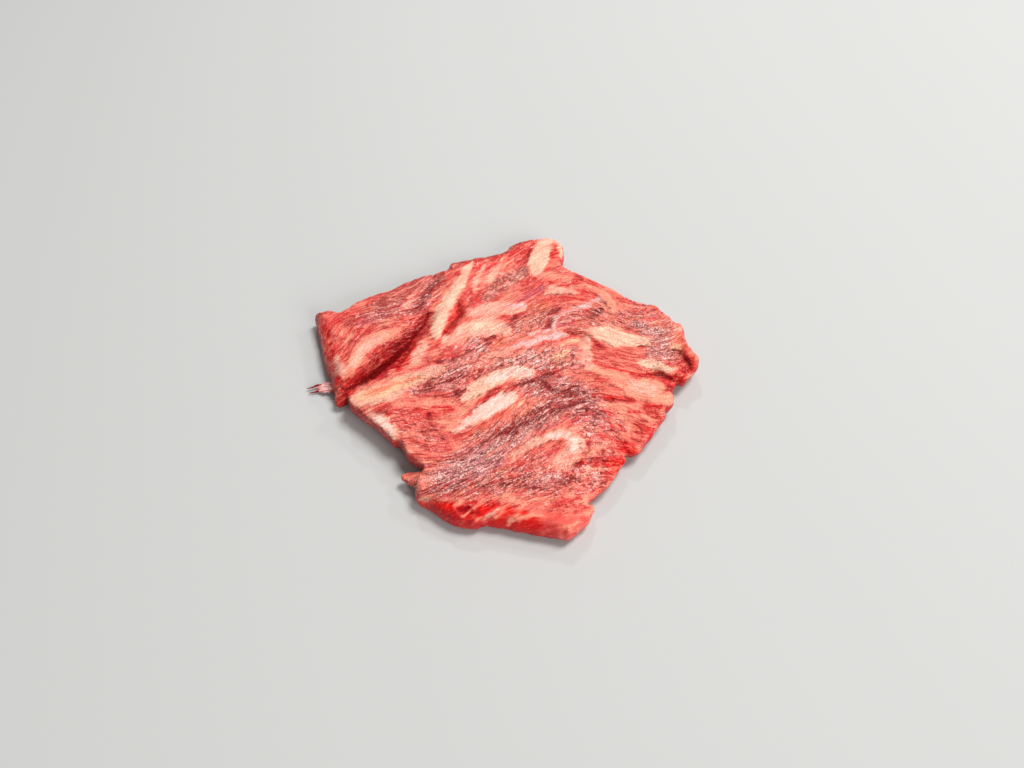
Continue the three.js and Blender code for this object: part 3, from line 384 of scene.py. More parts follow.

# Creases and pits, with shade painted in them besides their dip: strength, depth, path of (x, y, width)
CREASES = [
    # the floor of the fold
    (1.0, 0.5, [(-44.8, -11.6, 0.8), (-41.4, -9.4, 1.4), (-38.1, -6.7, 2.4), (-34.8, -3, 2),
                (-31.6, 1, 1.6), (-29.2, 4.6, 1.2), (-27.4, 7.8, 1), (-24, 14.2, 0.8), (-23, 18, 0.6)]),
    (0.65, 0.3, [(-43, -8.4, 0.5), (-39.6, -4, 0.8), (-36.4, 0.4, 0.7), (-32.6, 5, 0.8),
                 (-29.4, 9, 0.6)]),
    (0.6, 0.3, [(-33, 2.6, 0.5), (-29.8, 6.4, 0.8), (-27.4, 10.4, 0.6), (-25.4, 15, 0.8),
                (-24.2, 19.6, 0.5)]),
    (0.45, 0.2, [(-41.6, -3.6, 0.4), (-38.4, 1.2, 0.6), (-34.6, 6, 0.5)]),
    (0.8, 0.5, [(-46, -18.4, 1), (-43.6, -17.6, 1.4)]),
    (0.3, 0.2, [(-52.4, 9.4, 0.4), (-50, 8.6, 0.6), (-47, 6.8, 0.6), (-44.4, 6.6, 0.4)]),
    (0.6, 0.2, [(-40, -19.3, 0.5), (-33, -20, 0.6)]),
    (0.6, 0.2, [(-3, -12.5, 0.5), (3, -10.5, 0.7), (11, -8, 0.7)]),
    (0.55, 0.2, [(-8, -19, 0.5), (-3, -14.5, 0.7), (3, -12, 0.6)]),
    (0.6, 0.2, [(9.2, 48, 0.6), (8, 42.8, 0.8)]),
    (0.7, 0.3, [(-13.5, 24, 0.7), (-13, 19, 0.8), (-14, 16, 0.8), (-16.5, 12.5, 0.8)]),
    (0.6, 0.3, [(-17.4, 10.4, 1), (-16.2, 9.6, 1)]),
    (0.5, 0.2, [(-27, 19.5, 1.6), (-25.2, 23, 1.6)]),
    (0.5, 0.2, [(-24.6, 26, 1), (-22.5, 31, 1.2), (-20.6, 35.4, 1)]),
    # pits beyond the middle
    (0.7, 0.3, [(-4.6, 7.4, 1.2), (-2.4, 9.2, 1)]),
    (0.5, 0.2, [(2, 13.5, 1.4), (4.5, 17, 1.4)]),
    (0.6, 0.3, [(14.4, 12.8, 1), (15.6, 16, 1.2)]),
    (0.6, 0.3, [(15, 18.4, 1), (18, 20.4, 1)]),
    # streaks through the middle
    (0.6, 0.3, [(-23.4, -12.7, 0.4), (-19, -9.9, 0.6), (-15, -8, 0.8), (-11, -6.5, 0.9)]),
    (0.5, 0.3, [(-18.3, -1.3, 0.4), (-13.6, 0.7, 0.7), (-9.4, 3, 0.5)]),
    (0.7, 0.3, [(-13.2, -12.8, 0.8), (-9.6, -11.8, 0.9)]),
    (0.6, 0.2, [(-7.2, -7.4, 0.8), (-6, -5, 0.8)]),
    (0.6, 0.2, [(-21, -14.5, 0.6), (-12, -13.8, 0.7)]),
    (0.6, 0.3, [(-22, -9.8, 1), (-20.6, -9.2, 1)]),
    (0.5, 0.3, [(-21.6, -11.4, 0.8), (-20.4, -10.8, 0.8)]),
    (0.5, 0.2, [(-20, -1.5, 0.7), (-14, 0, 0.8)]),
    (0.6, 0.4, [(10.8, -7.4, 0.9), (13, -6.6, 1.2), (15.6, -5.2, 0.9)]),
    (0.7, 0.4, [(11.6, -7.6, 0.9), (14.8, -12.4, 1)]),
    (0.65, 0.4, [(16.6, -13.2, 0.8), (19.5, -12.4, 1.3), (22.4, -11, 0.8)]),
    (0.45, 0.3, [(15, -15, 0.6), (19, -14.2, 0.8), (24, -12.6, 0.6)]),
    (0.5, 0.4, [(-13, -35.6, 0.4), (-7, -31.8, 0.6), (-1.1, -27.5, 0.9), (5, -24.5, 0.7),
                (11.2, -21.4, 0.8), (17, -18.9, 0.5)]),
    (0.6, 0.4, [(-2, -27.8, 0.8), (1, -26.6, 1.2), (4, -26.6, 0.8)]),
    (0.45, 0.3, [(4, -23.6, 0.7), (9, -19.6, 1), (14.6, -16.4, 0.7)]),
    (0.55, 0.4, [(10, -20, 0.6), (13, -18.2, 0.9), (16, -16.6, 0.6)]),
    (0.7, 0.3, [(18.5, -18, 0.9), (23.5, -15.8, 1)]),
    (0.6, 0.3, [(22.4, -19.4, 1), (24.4, -19, 1)]),
    (0.6, 0.3, [(26.4, -20, 1), (28.8, -19.6, 1)]),
    # the near part
    (0.6, 0.2, [(-20.4, -20.3, 0.4), (-20.4, -22.1, 0.4), (-18.8, -25.5, 0.5), (-16.4, -28.1, 0.5),
                (-15.1, -29.1, 0.3)]),
    (0.5, 0.2, [(-18.7, -26.1, 0.3), (-19.9, -25.8, 0.4), (-21.4, -27.5, 0.4), (-20.7, -30.4, 0.4),
                (-19.7, -32.7, 0.3)]),
    (0.5, 0.2, [(-16, -34, 0.3), (-14.4, -33.7, 0.4), (-13.3, -34.3, 0.4), (-15.9, -36.8, 0.3)]),
    (0.5, 0.2, [(14.8, -49.9, 0.3), (16.3, -51.4, 0.4)]),
    (0.5, 0.2, [(15.4, -49.2, 0.3), (18, -50.3, 0.4)]),
    (0.35, 0.4, [(20, -36.8, 0.4), (25, -35.6, 0.6), (31, -36.2, 0.5)]),
    (0.6, 0.4, [(14.4, -43.4, 0.6), (16.6, -42.6, 0.9), (18.4, -42.8, 0.6)]),
    (0.6, 0.4, [(17.6, -41.6, 0.6), (19.6, -41.4, 0.9), (21.6, -42.2, 0.7)]),
    (0.5, 0.2, [(2.8, -41.2, 0.7), (8, -41.2, 0.7)]),
    (0.45, 0.2, [(-6, -43.4, 0.5), (2, -43.2, 0.7), (12, -44.4, 0.6)]),
    (0.8, 0.5, [(-10.4, -51, 0.9), (-8.6, -50.3, 0.9)]),
    (0.7, 0.4, [(-7.2, -51.8, 0.9), (-5.8, -51.4, 0.8)]),
    (0.45, 0.2, [(-4.8, -53.4, 0.4), (4, -54.6, 0.6), (14, -55.6, 0.4)]),
    (0.55, 0.2, [(22, -30.6, 0.6), (21.8, -32.6, 0.6), (23, -34, 0.6), (24.4, -32.6, 0.6),
                 (24, -30.6, 0.6)]),
    # the right side
    (0.45, 0.6, [(27.6, 16.8, 0.6), (29.9, 18.7, 1), (31.6, 20.4, 0.6)]),
    (0.55, 0.2, [(21, 10.5, 0.7), (25, 10.2, 0.8), (27.5, 8.5, 0.8), (28.5, 7, 0.7)]),
    (0.55, 0.2, [(28, 7.5, 1), (30.5, 4, 1.4)]),
    (0.5, 0.2, [(30.4, 26, 0.7), (32.8, 23.6, 0.8), (34, 20.8, 0.7)]),
    (0.6, 0.5, [(44.6, -5.6, 0.8), (48, -6.6, 1.1), (51, -7.6, 0.9)]),
    (0.65, 0.4, [(53.6, 3.4, 0.6), (55, 1, 1.1), (56, -1.6, 1), (56.4, -4, 0.7)]),
    (0.7, 0.2, [(30, -15.5, 0.5), (37.6, -15.6, 0.6)]),
    (0.5, 0.4, [(40.8, -15.2, 0.3), (43.3, -16.1, 0.5), (45.7, -17.2, 0.5), (47.9, -17.8, 0.4)]),
    (0.3, 0.3, [(37.4, -22.4, 0.4), (40.6, -22.4, 0.4)]),
    (0.5, 0.3, [(47.4, -12.6, 0.9), (49.4, -10.8, 0.9)]),
    (0.6, 0.3, [(40.6, -6.2, 1), (43, -6.6, 1.2)]),
]

# Loose, speckled muscle, where the fibres are torn: strength, path of (x, y, width)
TORN = [
    (0.9, [(-25, -10, 6), (-15, -6, 9), (-8, -1, 6), (-7, 6, 6)]),
    (0.7, [(-12, -13, 4), (-4, -4, 4)]),
    (1.0, [(0, -2, 5), (9, -1, 8), (18, 0, 8), (23, 0, 5)]),
    (1.0, [(9, -10, 7), (17, -13, 11), (25, -17, 9)]),
    (1.0, [(-16, -41, 6), (-6, -34, 10), (4, -26, 8), (13, -19, 8)]),
    (0.8, [(-18, -44, 5), (0, -42, 6), (12, -42, 6), (24, -40, 7)]),
    (0.8, [(26, -24, 7), (32, -23, 5)]),
    (1.0, [(43, 14, 4), (48.5, 9, 7), (49.5, 3, 8), (45.6, -2, 3)]),
    (0.7, [(27, 17, 3), (31, 20, 4)]),
    (0.5, [(24, 12, 4), (38, 17, 7), (46, 19, 5), (53, 13, 4)]),
    (0.6, [(3, 11, 5), (12, 16, 6), (24, 19, 5)]),
    (0.3, [(-38, -3, 4), (-34, 7, 4), (-27, 14, 4)]),
    (0.5, [(-40, 18, 4), (-26, 22, 5), (-22, 33, 4)]),
    (0.5, [(8, -34, 3), (12, -38, 5)]),
    (0.3, [(-36, -22, 6), (-26, -24, 8), (-18, -30, 6)]),
    (0.4, [(22, -38, 5), (30, -28, 6)]),
]

# The compact crumbly patch near the far tip, and the smooth near face left by the knife
CRUMBLY = [(-4.7, 24.9, 3), (-3.2, 28.9, 4), (-0.2, 32, 5), (3.4, 35, 5.4), (7.4, 37.6, 4.4)]
CUT_FACE = [(-20, -51, 5), (-14, -52.4, 7), (-6, -54, 8), (4, -55, 9), (14, -56, 9), (22, -55, 6)]


def smooth_closed(points):
    """Evenly spaced points of a round spline through the outline's points, with their edges."""
    places = np.array([p for p, _ in points], float)
    owners = [owner for _, owner in points]
    count = len(places)
    fine, fine_owner = [], []
    steps = np.linspace(0, 1, 40, endpoint=False)
    for k in range(count):
        a, b, c, d = (places[(k + step) % count] for step in (-1, 0, 1, 2))
        t0, t1, t2 = (math.sqrt(np.linalg.norm(q - p)) for p, q in ((a, b), (b, c), (c, d)))
        leave = ((b - a) / t0 - (c - a) / (t0 + t1) + (c - b) / t1) * t1
        arrive = ((c - b) / t1 - (d - b) / (t1 + t2) + (d - c) / t2) * t1
        for s in steps:
            fine.append(b * (2 * s**3 - 3 * s**2 + 1) + leave * (s**3 - 2 * s**2 + s)
                        + c * (3 * s**2 - 2 * s**3) + arrive * (s**3 - s**2))
            fine_owner.append(owners[k])
    fine = np.array(fine)
    run = np.concatenate([[0], np.cumsum(np.linalg.norm(np.roll(fine, -1, 0) - fine, axis=1))])
    total = run[-1]
    samples = np.arange(int(total / RIM_SPACING)) * total / int(total / RIM_SPACING)
    closed = np.vstack([fine, fine[:1]])
    spaced = np.stack([np.interp(samples, run, closed[:, axis]) for axis in (0, 1)], 1)
    leg = np.searchsorted(run, samples, side="right") - 1
    return spaced, np.array(fine_owner)[np.clip(leg, 0, len(fine_owner) - 1)]


def soft_noise(u, v, seed):
    """Smooth noise of about -1 to 1, one cell wide."""
    i, j = np.floor(u), np.floor(v)
    f, g = u - i, v - j

    def corner(a, b):
        mixed = np.sin((i + a) * 127.1 + (j + b) * 311.7 + seed * 74.7) * 43758.5453
        turn = 2 * np.pi * (mixed - np.floor(mixed))
        return np.cos(turn) * (f - a) + np.sin(turn) * (g - b)

    s, t = (x * x * x * (x * (6 * x - 15) + 10) for x in (f, g))
    near = corner(0, 0) + s * (corner(1, 0) - corner(0, 0))
    far = corner(0, 1) + s * (corner(1, 1) - corner(0, 1))
    return 1.5 * (near + t * (far - near))


def smooth_step(value, low, high):
    share = np.clip((value - low) / (high - low), 0, 1)
    return share * share * (3 - 2 * share)


def near_leg(x, y, a, b):
    """Share along a leg of its point nearest to each place, and the distance to it."""
    dx, dy = b[0] - a[0], b[1] - a[1]
    share = np.clip(((x - a[0]) * dx + (y - a[1]) * dy) / (dx * dx + dy * dy), 0, 1)
    return share, np.hypot(x - a[0] - share * dx, y - a[1] - share * dy)


def near_path(x, y, path):
    """Distance to a path, and the place on it as leg plus share."""
    best = np.full(x.shape, np.inf)
    place = np.zeros(x.shape)
    for leg, (a, b) in enumerate(zip(path, path[1:])):
        share, distance = near_leg(x, y, a, b)
        closer = distance < best
        best[closer] = distance[closer]
        place[closer] = leg + share[closer]
    return best, place


def stroke_depth(x, y, path):
    """How far inside a stroke of changing width a place is, below 0 outside it."""
    reach = np.full(x.shape, -np.inf)
    for a, b in zip(path, path[1:]):
        share, distance = near_leg(x, y, a, b)
        reach = np.maximum(reach, (a[2] + share * (b[2] - a[2])) / 2 - distance)
    return reach


def quarter_round(distance, reach):
    short = 1 - np.clip(distance / reach, 0, 1)
    return np.sqrt(1 - short * short)


def crown_height(x, y):
    """Height of the top away from the rim."""
    height = np.full(x.shape, BODY_THICKNESS)
    for rise, half_width, path in BUNDLES:
        distance, _ = near_path(x, y, path)
        height += rise * np.exp(-((distance / half_width) ** 2))
    distance, place = near_path(x, y, FOLD)
    stops = np.arange(len(FOLD))
    floor = np.interp(place, stops, [stop[2] for stop in FOLD])
    depth = np.interp(place, stops, [stop[3] for stop in FOLD])
    return height - depth * (1 - smooth_step(distance - floor, 0, FOLD_WALL_RUN))


def seen_at(points):
    """Where the camera sees points on the level sight plane."""
    scale = (EYE_MM[2] - SIGHT_PLANE_MM) / (EYE_MM[2] - points[:, 2])
    return (EYE_MM[:2] + (points[:, :2] - EYE_MM[:2]) * scale[:, None]).T


class FibreFlow:
    """Two smooth measures in mm, along the fibres and across them, fitted to their directions."""

    def __init__(self, fibres, reach):
        anchors = np.array(fibres, float)
        self.places = anchors[:, :2]
        self.reach = reach
        turn = np.radians(anchors[:, 2])
        along = np.stack([np.cos(turn), np.sin(turn)], 1)
        across = np.stack([-along[:, 1], along[:, 0]], 1)
        slope_x, slope_y = self.slopes(self.places[:, 0], self.places[:, 1])
        rows = np.vstack([slope_x * side[:, :1] + slope_y * side[:, 1:] for side in (along, across)])
        ones, zeros = np.ones(len(anchors)), np.zeros(len(anchors))
        even = FIBRE_EVENNESS * np.eye(rows.shape[1])
        even[0, 0] = even[1, 1] = 0
        steady = np.zeros(rows.shape[1])
        self.along = self.solve(rows, np.concatenate([ones, zeros]), even, steady)
        self.across = self.solve(rows, np.concatenate([zeros, ones]), even, steady)

    @staticmethod
    def solve(rows, goals, even, steady):
        return np.linalg.lstsq(np.vstack([rows, even]), np.concatenate([goals, steady]), rcond=None)[0]

    def slopes(self, x, y):
        dx = (x[:, None] - self.places[:, 0]) / self.reach
        dy = (y[:, None] - self.places[:, 1]) / self.reach
        bell = np.exp(-dx**2 - dy**2)
        flat = np.zeros((len(x), 2))
        flat_x, flat_y = flat.copy(), flat.copy()
        flat_x[:, 0] = flat_y[:, 1] = 1
        return np.hstack([flat_x, -2 * dx * bell]), np.hstack([flat_y, -2 * dy * bell])

    def at(self, x, y):
        dx = (x[:, None] - self.places[:, 0]) / self.reach
        dy = (y[:, None] - self.places[:, 1]) / self.reach
        parts = np.hstack([np.stack([x, y], 1), self.reach * np.exp(-dx**2 - dy**2)])
        return parts @ self.along, parts @ self.across


def inside_rings(rim, inward, offsets, every, rim_tree):
    """Points at set distances in from the rim, left out where two parts of it come close."""
    kept = []
    for offset in offsets:
        ring = rim[::every] + inward[::every] * offset
        for x, y in ring:
            if rim_tree.find((x, y, 0))[2] > 0.92 * offset:
                kept.append((x, y))
    return kept


def lattice(spacing, low, high):
    """Even triangular lattice over a box, a little shaken."""
    rows = np.arange(low[1], high[1], spacing * math.sqrt(0.75))
    points = []
    for k, y in enumerate(rows):
        x = np.arange(low[0] + (k % 2) * spacing / 2, high[0], spacing)
        points.append(np.stack([x, np.full(x.shape, y)], 1))
    return np.vstack(points)


def inside_outline(points, rim):
    """Whether each point lies inside the closed outline."""
    inside = np.zeros(len(points), bool)
    for (ax, ay), (bx, by) in zip(rim, np.roll(rim, -1, 0)):
        crosses = (points[:, 1] < ay) != (points[:, 1] < by)
        if ay != by:
            inside ^= crosses & (points[:, 0] < ax + (points[:, 1] - ay) * (bx - ax) / (by - ay))
    return inside


def fill_plan(rim, inward, offsets, every, spacing, rim_tree):
    """Triangles over the outline: the rim, rings just inside it and a lattice further in."""
    inner = lattice(spacing, rim.min(0), rim.max(0))
    inner = inner[inside_outline(inner, rim)]
    clear = offsets[-1] + 0.6 * spacing
    gap = np.array([rim_tree.find((x, y, 0))[2] for x, y in inner])
    points = [tuple(p) for p in rim]
    points += inside_rings(rim, inward, offsets, every, rim_tree)
    points += [tuple(p) for p in inner[gap > clear]]
    ring = [(k, (k + 1) % len(rim)) for k in range(len(rim))]
    filled = delaunay_2d_cdt([Vector(p) for p in points], ring, [], 0, 1e-7, False)
    plan, triangles = np.array([tuple(v) for v in filled[0]]), np.array(filled[2])
    return plan, triangles[inside_outline(plan[triangles].mean(1), rim)]


def rim_distance(x, y, rim, rim_tree):
    """Distance to the rim and the index of its nearest sample."""
    nearest = np.array([rim_tree.find((a, b, 0))[1] for a, b in zip(x, y)])
    best = np.full(len(x), np.inf)
    for step in (-1, 0):
        a = rim[(nearest + step) % len(rim)]
        b = rim[(nearest + step + 1) % len(rim)]
        leg = b - a
        share = ((x - a[:, 0]) * leg[:, 0] + (y - a[:, 1]) * leg[:, 1]) / (leg**2).sum(1)
        share = np.clip(share, 0, 1)
        gap = np.hypot(x - a[:, 0] - share * leg[:, 0], y - a[:, 1] - share * leg[:, 1])
        best = np.minimum(best, gap)
    return best, nearest


def face_normals(points, faces):
    a, b, c = (points[faces[:, k]] for k in range(3))
    return np.cross(b - a, c - a)


def point_normals(points, faces):
    normals = np.zeros(points.shape)
    flat = face_normals(points, faces)
    for k in range(3):
        np.add.at(normals, faces[:, k], flat)
    return normals / np.maximum(np.linalg.norm(normals, axis=1), 1e-12)[:, None]


# Outline with its sizes blended from edge to edge, and a fine ragged cut
knots = [(point, owner) for owner, edge in enumerate(EDGES) for point in edge[3]]
rim, rim_owner = smooth_closed(knots)
rim_sizes = []
for size in range(3):
    raw = np.array([EDGES[owner][size] for owner in rim_owner])
    reach = int(RIM_BLEND / RIM_SPACING)
    rim_sizes.append(sum(np.roll(raw, step) for step in range(-reach, reach + 1)) / (2 * reach + 1))
forward = np.roll(rim, -1, 0) - np.roll(rim, 1, 0)
forward /= np.linalg.norm(forward, axis=1)[:, None]
rim_inward = np.stack([forward[:, 1], -forward[:, 0]], 1)
rim_run = np.arange(len(rim)) * RIM_SPACING
ragged = soft_noise(rim_run / 2.6, 0 * rim_run, 3) + 0.5 * soft_noise(rim_run / 1.1, 0 * rim_run, 5)
ragged *= RIM_RAGGED
rim = rim + rim_inward * ragged[:, None]
rim_tree = KDTree(len(rim))
for k, (x, y) in enumerate(rim):
    rim_tree.insert((x, y, 0), k)
rim_tree.balance()

TOP_RINGS = [0.03, 0.12, 0.27, 0.48, 0.75, 1.08]
BASE_RINGS = [0.06, 0.25, 0.6, 1.1, 1.8]
TOP_SPACING = 0.39
BASE_SPACING = 1.1
top_plan, top_faces = fill_plan(rim, rim_inward, TOP_RINGS, 1, TOP_SPACING, rim_tree)
base_plan, base_faces = fill_plan(rim, rim_inward, BASE_RINGS, 2, BASE_SPACING, rim_tree)

top_gap, top_near = rim_distance(*top_plan.T, rim, rim_tree)
base_gap, base_near = rim_distance(*base_plan.T, rim, rim_tree)
top_gap[:len(rim)] = base_gap[:len(rim)] = 0
level, roll, tuck = rim_sizes
top_level = level[top_near]
top_z = top_level + (crown_height(*top_plan.T) - top_level) * quarter_round(top_gap, roll[top_near])
base_z = level[base_near] * (1 - quarter_round(base_gap, tuck[base_near]))

# One closed skin: the underside shares the rim's points and faces down
own_base = base_plan[len(rim):]
points = np.vstack([np.column_stack([top_plan, top_z]),
                    np.column_stack([own_base, base_z[len(rim):]])])
base_index = np.concatenate([np.arange(len(rim)), np.arange(len(own_base)) + len(top_plan)])
faces = np.vstack([top_faces, base_index[base_faces][:, ::-1]])
is_top = np.arange(len(points)) < len(top_plan)
rim_gap = np.concatenate([top_gap, base_gap[len(rim):]])

flow = FibreFlow(FIBRES, FIBRE_REACH)


def fibre_crevices(along, across, x, y):
    """Rounded fibre bundles of two sizes with sharp crevices between them, 0 in a crevice."""
    coarse = np.abs(soft_noise(along / 6.5, across / 1.9, 21))
    fine = np.abs(soft_noise(along / 3.2, across / 0.95, 22))
    crumbs = np.abs(soft_noise(x / 1.5, y / 1.5, 24))
    return coarse, fine, crumbs


def tissue_maps(points):
    """Fat, creases and their painted shade, torn looseness and fibres where the camera sees each point."""
    x, y = seen_at(points)
    along, across = flow.at(x, y)
    bend = 0.45 * soft_noise(x / 2.7, y / 2.7, 11) + 0.25 * soft_noise(x / 1.2, y / 1.2, 12)
    lean = 0.45 * soft_noise(x / 2.7, y / 2.7, 13) + 0.25 * soft_noise(x / 1.2, y / 1.2, 14)
    x, y = x + bend, y + lean
    fray = 0.4 * soft_noise(along / 7, across / 1.5, 15) + 0.3 * soft_noise(along / 3, across / 0.6, 16)
    halo = smooth_step(soft_noise(x / 6, y / 6, 17), -0.35, 0.45)
    fat = np.zeros(x.shape)
    crease_shade = np.zeros(x.shape)
    dip = np.zeros(x.shape)
    crease_shade_halo = np.zeros(x.shape)
    outlined = smooth_step(soft_noise(x / 5, y / 5, 18), 0.0, 0.3)
    for _, strength, path in FAT:
        bare = stroke_depth(x, y, path)
        depth = bare + fray
        share = strength * smooth_step(depth, -0.9 - 2.0 * halo, 0.6 + 0.5 * halo)
        # Painted shadow: a dark line along the near side of each strong fat streak, with a small dip.
        if strength >= 0.9:
            shadowed_near_side = smooth_step(stroke_depth(x, y + 0.6, path) - bare, 0.1, 0.4)
            edge = outlined * shadowed_near_side * smooth_step(-np.abs(depth + 0.4), -0.5, -0.1) * (1 - fat)
            crease_shade = np.maximum(crease_shade * (1 - share), 0.5 * edge)
            dip = np.maximum(dip, 0.25 * edge)
        fat = np.maximum(fat, share)
    # Each crease paints shade into its mask and sinks a dip into the relief.
    for strength, drop, path in CREASES:
        depth = stroke_depth(x, y, path) + 0.7 * fray
        crease_shade = np.maximum(crease_shade, strength * smooth_step(depth, -0.7, 0.4))
        dip = np.maximum(dip, drop * smooth_step(depth, -0.8, 0.6))
        # A wider halo of painted shade around each crease.
        crease_shade_halo = np.maximum(crease_shade_halo, strength * smooth_step(depth, -2.2, 0.0))
    torn = np.zeros(x.shape)
    for strength, path in TORN:
        torn = np.maximum(torn, strength * smooth_step(stroke_depth(x, y, path) + 2 * fray, -3.4, 2.0))
    crumbly = smooth_step(stroke_depth(x, y, CRUMBLY) + fray, -0.6, 0.4)
    cut = smooth_step(stroke_depth(x, y, CUT_FACE) + 0.5 * fray, -0.5, 0.5)
    torn = np.maximum(torn * (1 - cut), crumbly) * (1 - 0.5 * fat)
    return x, y, along, across, fat, crease_shade, dip, crease_shade_halo, torn, crumbly, cut


x, y, along, across, fat, _, dip, _, torn, _, cut = tissue_maps(points)

# Relief: fibre bundles, torn crumbs, fat that stands a little proud, and creases
FIBRE_RELIEF = 0.5
TORN_RELIEF = 0.85
FAT_RELIEF = 0.2
coarse, fine, crumbs = fibre_crevices(along, across, x, y)
height = FIBRE_RELIEF * (1 - 0.6 * fat) * (1 - 0.6 * cut) * (0.7 * coarse + 0.5 * fine - 0.25)
height += TORN_RELIEF * torn * (1 - 0.6 * fat) * (0.5 * coarse + 0.6 * fine + 0.5 * crumbs - 0.35)
height += FAT_RELIEF * fat - dip
height += 0.14 * soft_noise(x / 3.6, y / 3.6, 26)
normals = point_normals(points, faces)
edge_hold = smooth_step(rim_gap, 0.0, 0.6)
height *= np.where(is_top, 0.35 + 0.65 * edge_hold, 0.4 * smooth_step(points[:, 2], 0.1, 1.0))
points = points + normals * height[:, None]
points[:, 2] = np.maximum(points[:, 2], 0)


def light_of(shade):
    """A tissue's colour as linear light."""
    share = np.array(shade, float) / 255
    return np.where(share <= 0.04045, share / 12.92, ((share + 0.055) / 1.055) ** 2.4)


tint = {name: light_of(shade) for name, shade in TISSUE.items()}


def tissue_tints(x, y, along, across):
    """Colour of the lean and of the fat, and the fine marbling, at each point."""
    patch = soft_noise(x / 9, y / 9, 31) + 0.5 * soft_noise(along / 9, across / 2.5, 32)
    patch = smooth_step(patch, -0.6, 0.6)
    lean_tint = tint["rose"] + patch[:, None] * (tint["salmon"] - tint["rose"])
    fray = 0.4 * soft_noise(along / 4, across / 0.9, 33) + 0.25 * soft_noise(along / 2, across / 0.5, 34)
    marbling = (0.14 + 0.75 * soft_noise(along / 9, across / 2.1, 35)
                + 0.5 * soft_noise(along / 4.5, across / 1.05, 36) + 0.3 * soft_noise(x / 5, y / 5, 37))
    for name, strength, softness, path in LEAN:
        share = strength * smooth_step(stroke_depth(x, y, path) + fray, -softness, 0.6 * softness)
        lean_tint += share[:, None] * (tint[name] - lean_tint)
        marbling -= (0.5 if name in DEEP_REDS else 0.2) * share
    fat_tint = np.tile(tint["peach"], (len(x), 1))
    for name, strength, path in FAT:
        share = smooth_step(stroke_depth(x, y, path) + fray, -0.9, 0.5)
        fat_tint += share[:, None] * (tint[name] - fat_tint)
    return lean_tint, fat_tint, marbling


def skin_mesh(name, points_mm, faces):
    mesh = bpy.data.meshes.new(name)
    mesh.vertices.add(len(points_mm))
    mesh.vertices.foreach_set("co", (points_mm * MM).astype(np.float32).ravel())
    mesh.loops.add(3 * len(faces))
    mesh.loops.foreach_set("vertex_index", faces.astype(np.int32).ravel())
    mesh.polygons.add(len(faces))
    mesh.polygons.foreach_set("loop_start", np.arange(0, 3 * len(faces), 3, dtype=np.int32))
    mesh.polygons.foreach_set("use_smooth", np.ones(len(faces), bool))
    mesh.update(calc_edges=True)
    mesh.validate()
    return mesh


def store_vector(mesh, name, columns):
    layer = mesh.attributes.new(name, "FLOAT_VECTOR", "POINT")
    layer.data.foreach_set("vector", np.column_stack(columns).astype(np.float32).ravel())


def store_tint(mesh, name, tints):
    layer = mesh.attributes.new(name, "FLOAT_COLOR", "POINT")
    with_alpha = np.column_stack([tints, np.ones(len(tints))])
    layer.data.foreach_set("color", with_alpha.astype(np.float32).ravel())


def paint_tissue(mesh, points, steepness, rim_line):
    """Stores on a mesh what its material needs of the tissue at each point, and where shade is painted."""
    x, y, along, across, fat, crease_shade, dip, crease_shade_halo, torn, crumbly, cut = tissue_maps(points)
    coarse, fine, _ = fibre_crevices(along, across, x, y)
    lean_tint, fat_tint, marbling = tissue_tints(x, y, along, across)
    # Painted shade around the creases: the lean turns crimson and holds less fat.
    lean_tint += 0.7 * crease_shade_halo[:, None] * (tint["crimson"] - lean_tint)
    fatness = 0.92 * fat + (1 - fat) * (marbling - 0.35 * crease_shade_halo)
    # Steep sides, all but the near cut face: lean without fat, painted deep crimson as shade.
    wall_lean_and_shade = steepness * smooth_step(y, -49, -45)
    lean_tint += 0.8 * wall_lean_and_shade[:, None] * (tint["crimson"] - lean_tint)
    fatness -= 0.7 * wall_lean_and_shade
    lip = rim_line * smooth_step(soft_noise(x / 3, y / 3, 38), -0.3, 0.3)
    fatness += 0.45 * lip
    cut = np.maximum(cut, 0.5 * steepness)
    # Painted shade in the crevices between the fibre bundles of the relief.
    crevice = np.maximum(1 - coarse / 0.12, 0.8 - fine / 0.12).clip(0, 1) * (1 - 0.7 * fat) * (1 - cut)
    store_vector(mesh, "flow", (along, across, points[:, 2]))
    store_vector(mesh, "fat", (fatness, fat, torn))
    store_vector(mesh, "crease_shade", (crease_shade, crevice, crease_shade_halo))
    store_vector(mesh, "finish", (crumbly, cut, np.zeros(len(x))))
    store_tint(mesh, "lean_tint", lean_tint)
    store_tint(mesh, "fat_tint", fat_tint)


slice_mesh = skin_mesh("steak_slice", points, faces)
facing_up = np.where(is_top, normals[:, 2], 0.0)
lip = smooth_step(-np.abs(rim_gap - 1.1), -0.6, -0.1) * is_top
paint_tissue(slice_mesh, points, 1 - smooth_step(facing_up, 0.2, 0.6), lip)
steak_slice = bpy.data.objects.new("steak_slice", slice_mesh)
bpy.context.scene.collection.objects.link(steak_slice)


class Link:
    """A shader socket that adds Math nodes when it is used in an expression."""

    def __init__(self, tree, socket):
        self.tree = tree
        self.socket = socket

    def math(self, operation, *values, clamp=False):
        return node(self.tree, "ShaderNodeMath", {"operation": operation, "use_clamp": clamp}, values)

    def __add__(self, other):
        return self.math("ADD", self, other)

    def __sub__(self, other):
        return self.math("SUBTRACT", self, other)

    def __mul__(self, other):
        return self.math("MULTIPLY", self, other)

    def __rsub__(self, other):
        return self.math("SUBTRACT", other, self)

    __radd__ = __add__
    __rmul__ = __mul__

    def size(self):
        return self.math("ABSOLUTE", self)

    def clamped(self):
        return self.math("ADD", self, 0.0, clamp=True)

    def step(self, low, high):
        settings = {"interpolation_type": "SMOOTHSTEP"}
        sockets = {"Value": self, "From Min": low, "From Max": high}
        return node(self.tree, "ShaderNodeMapRange", settings, sockets)


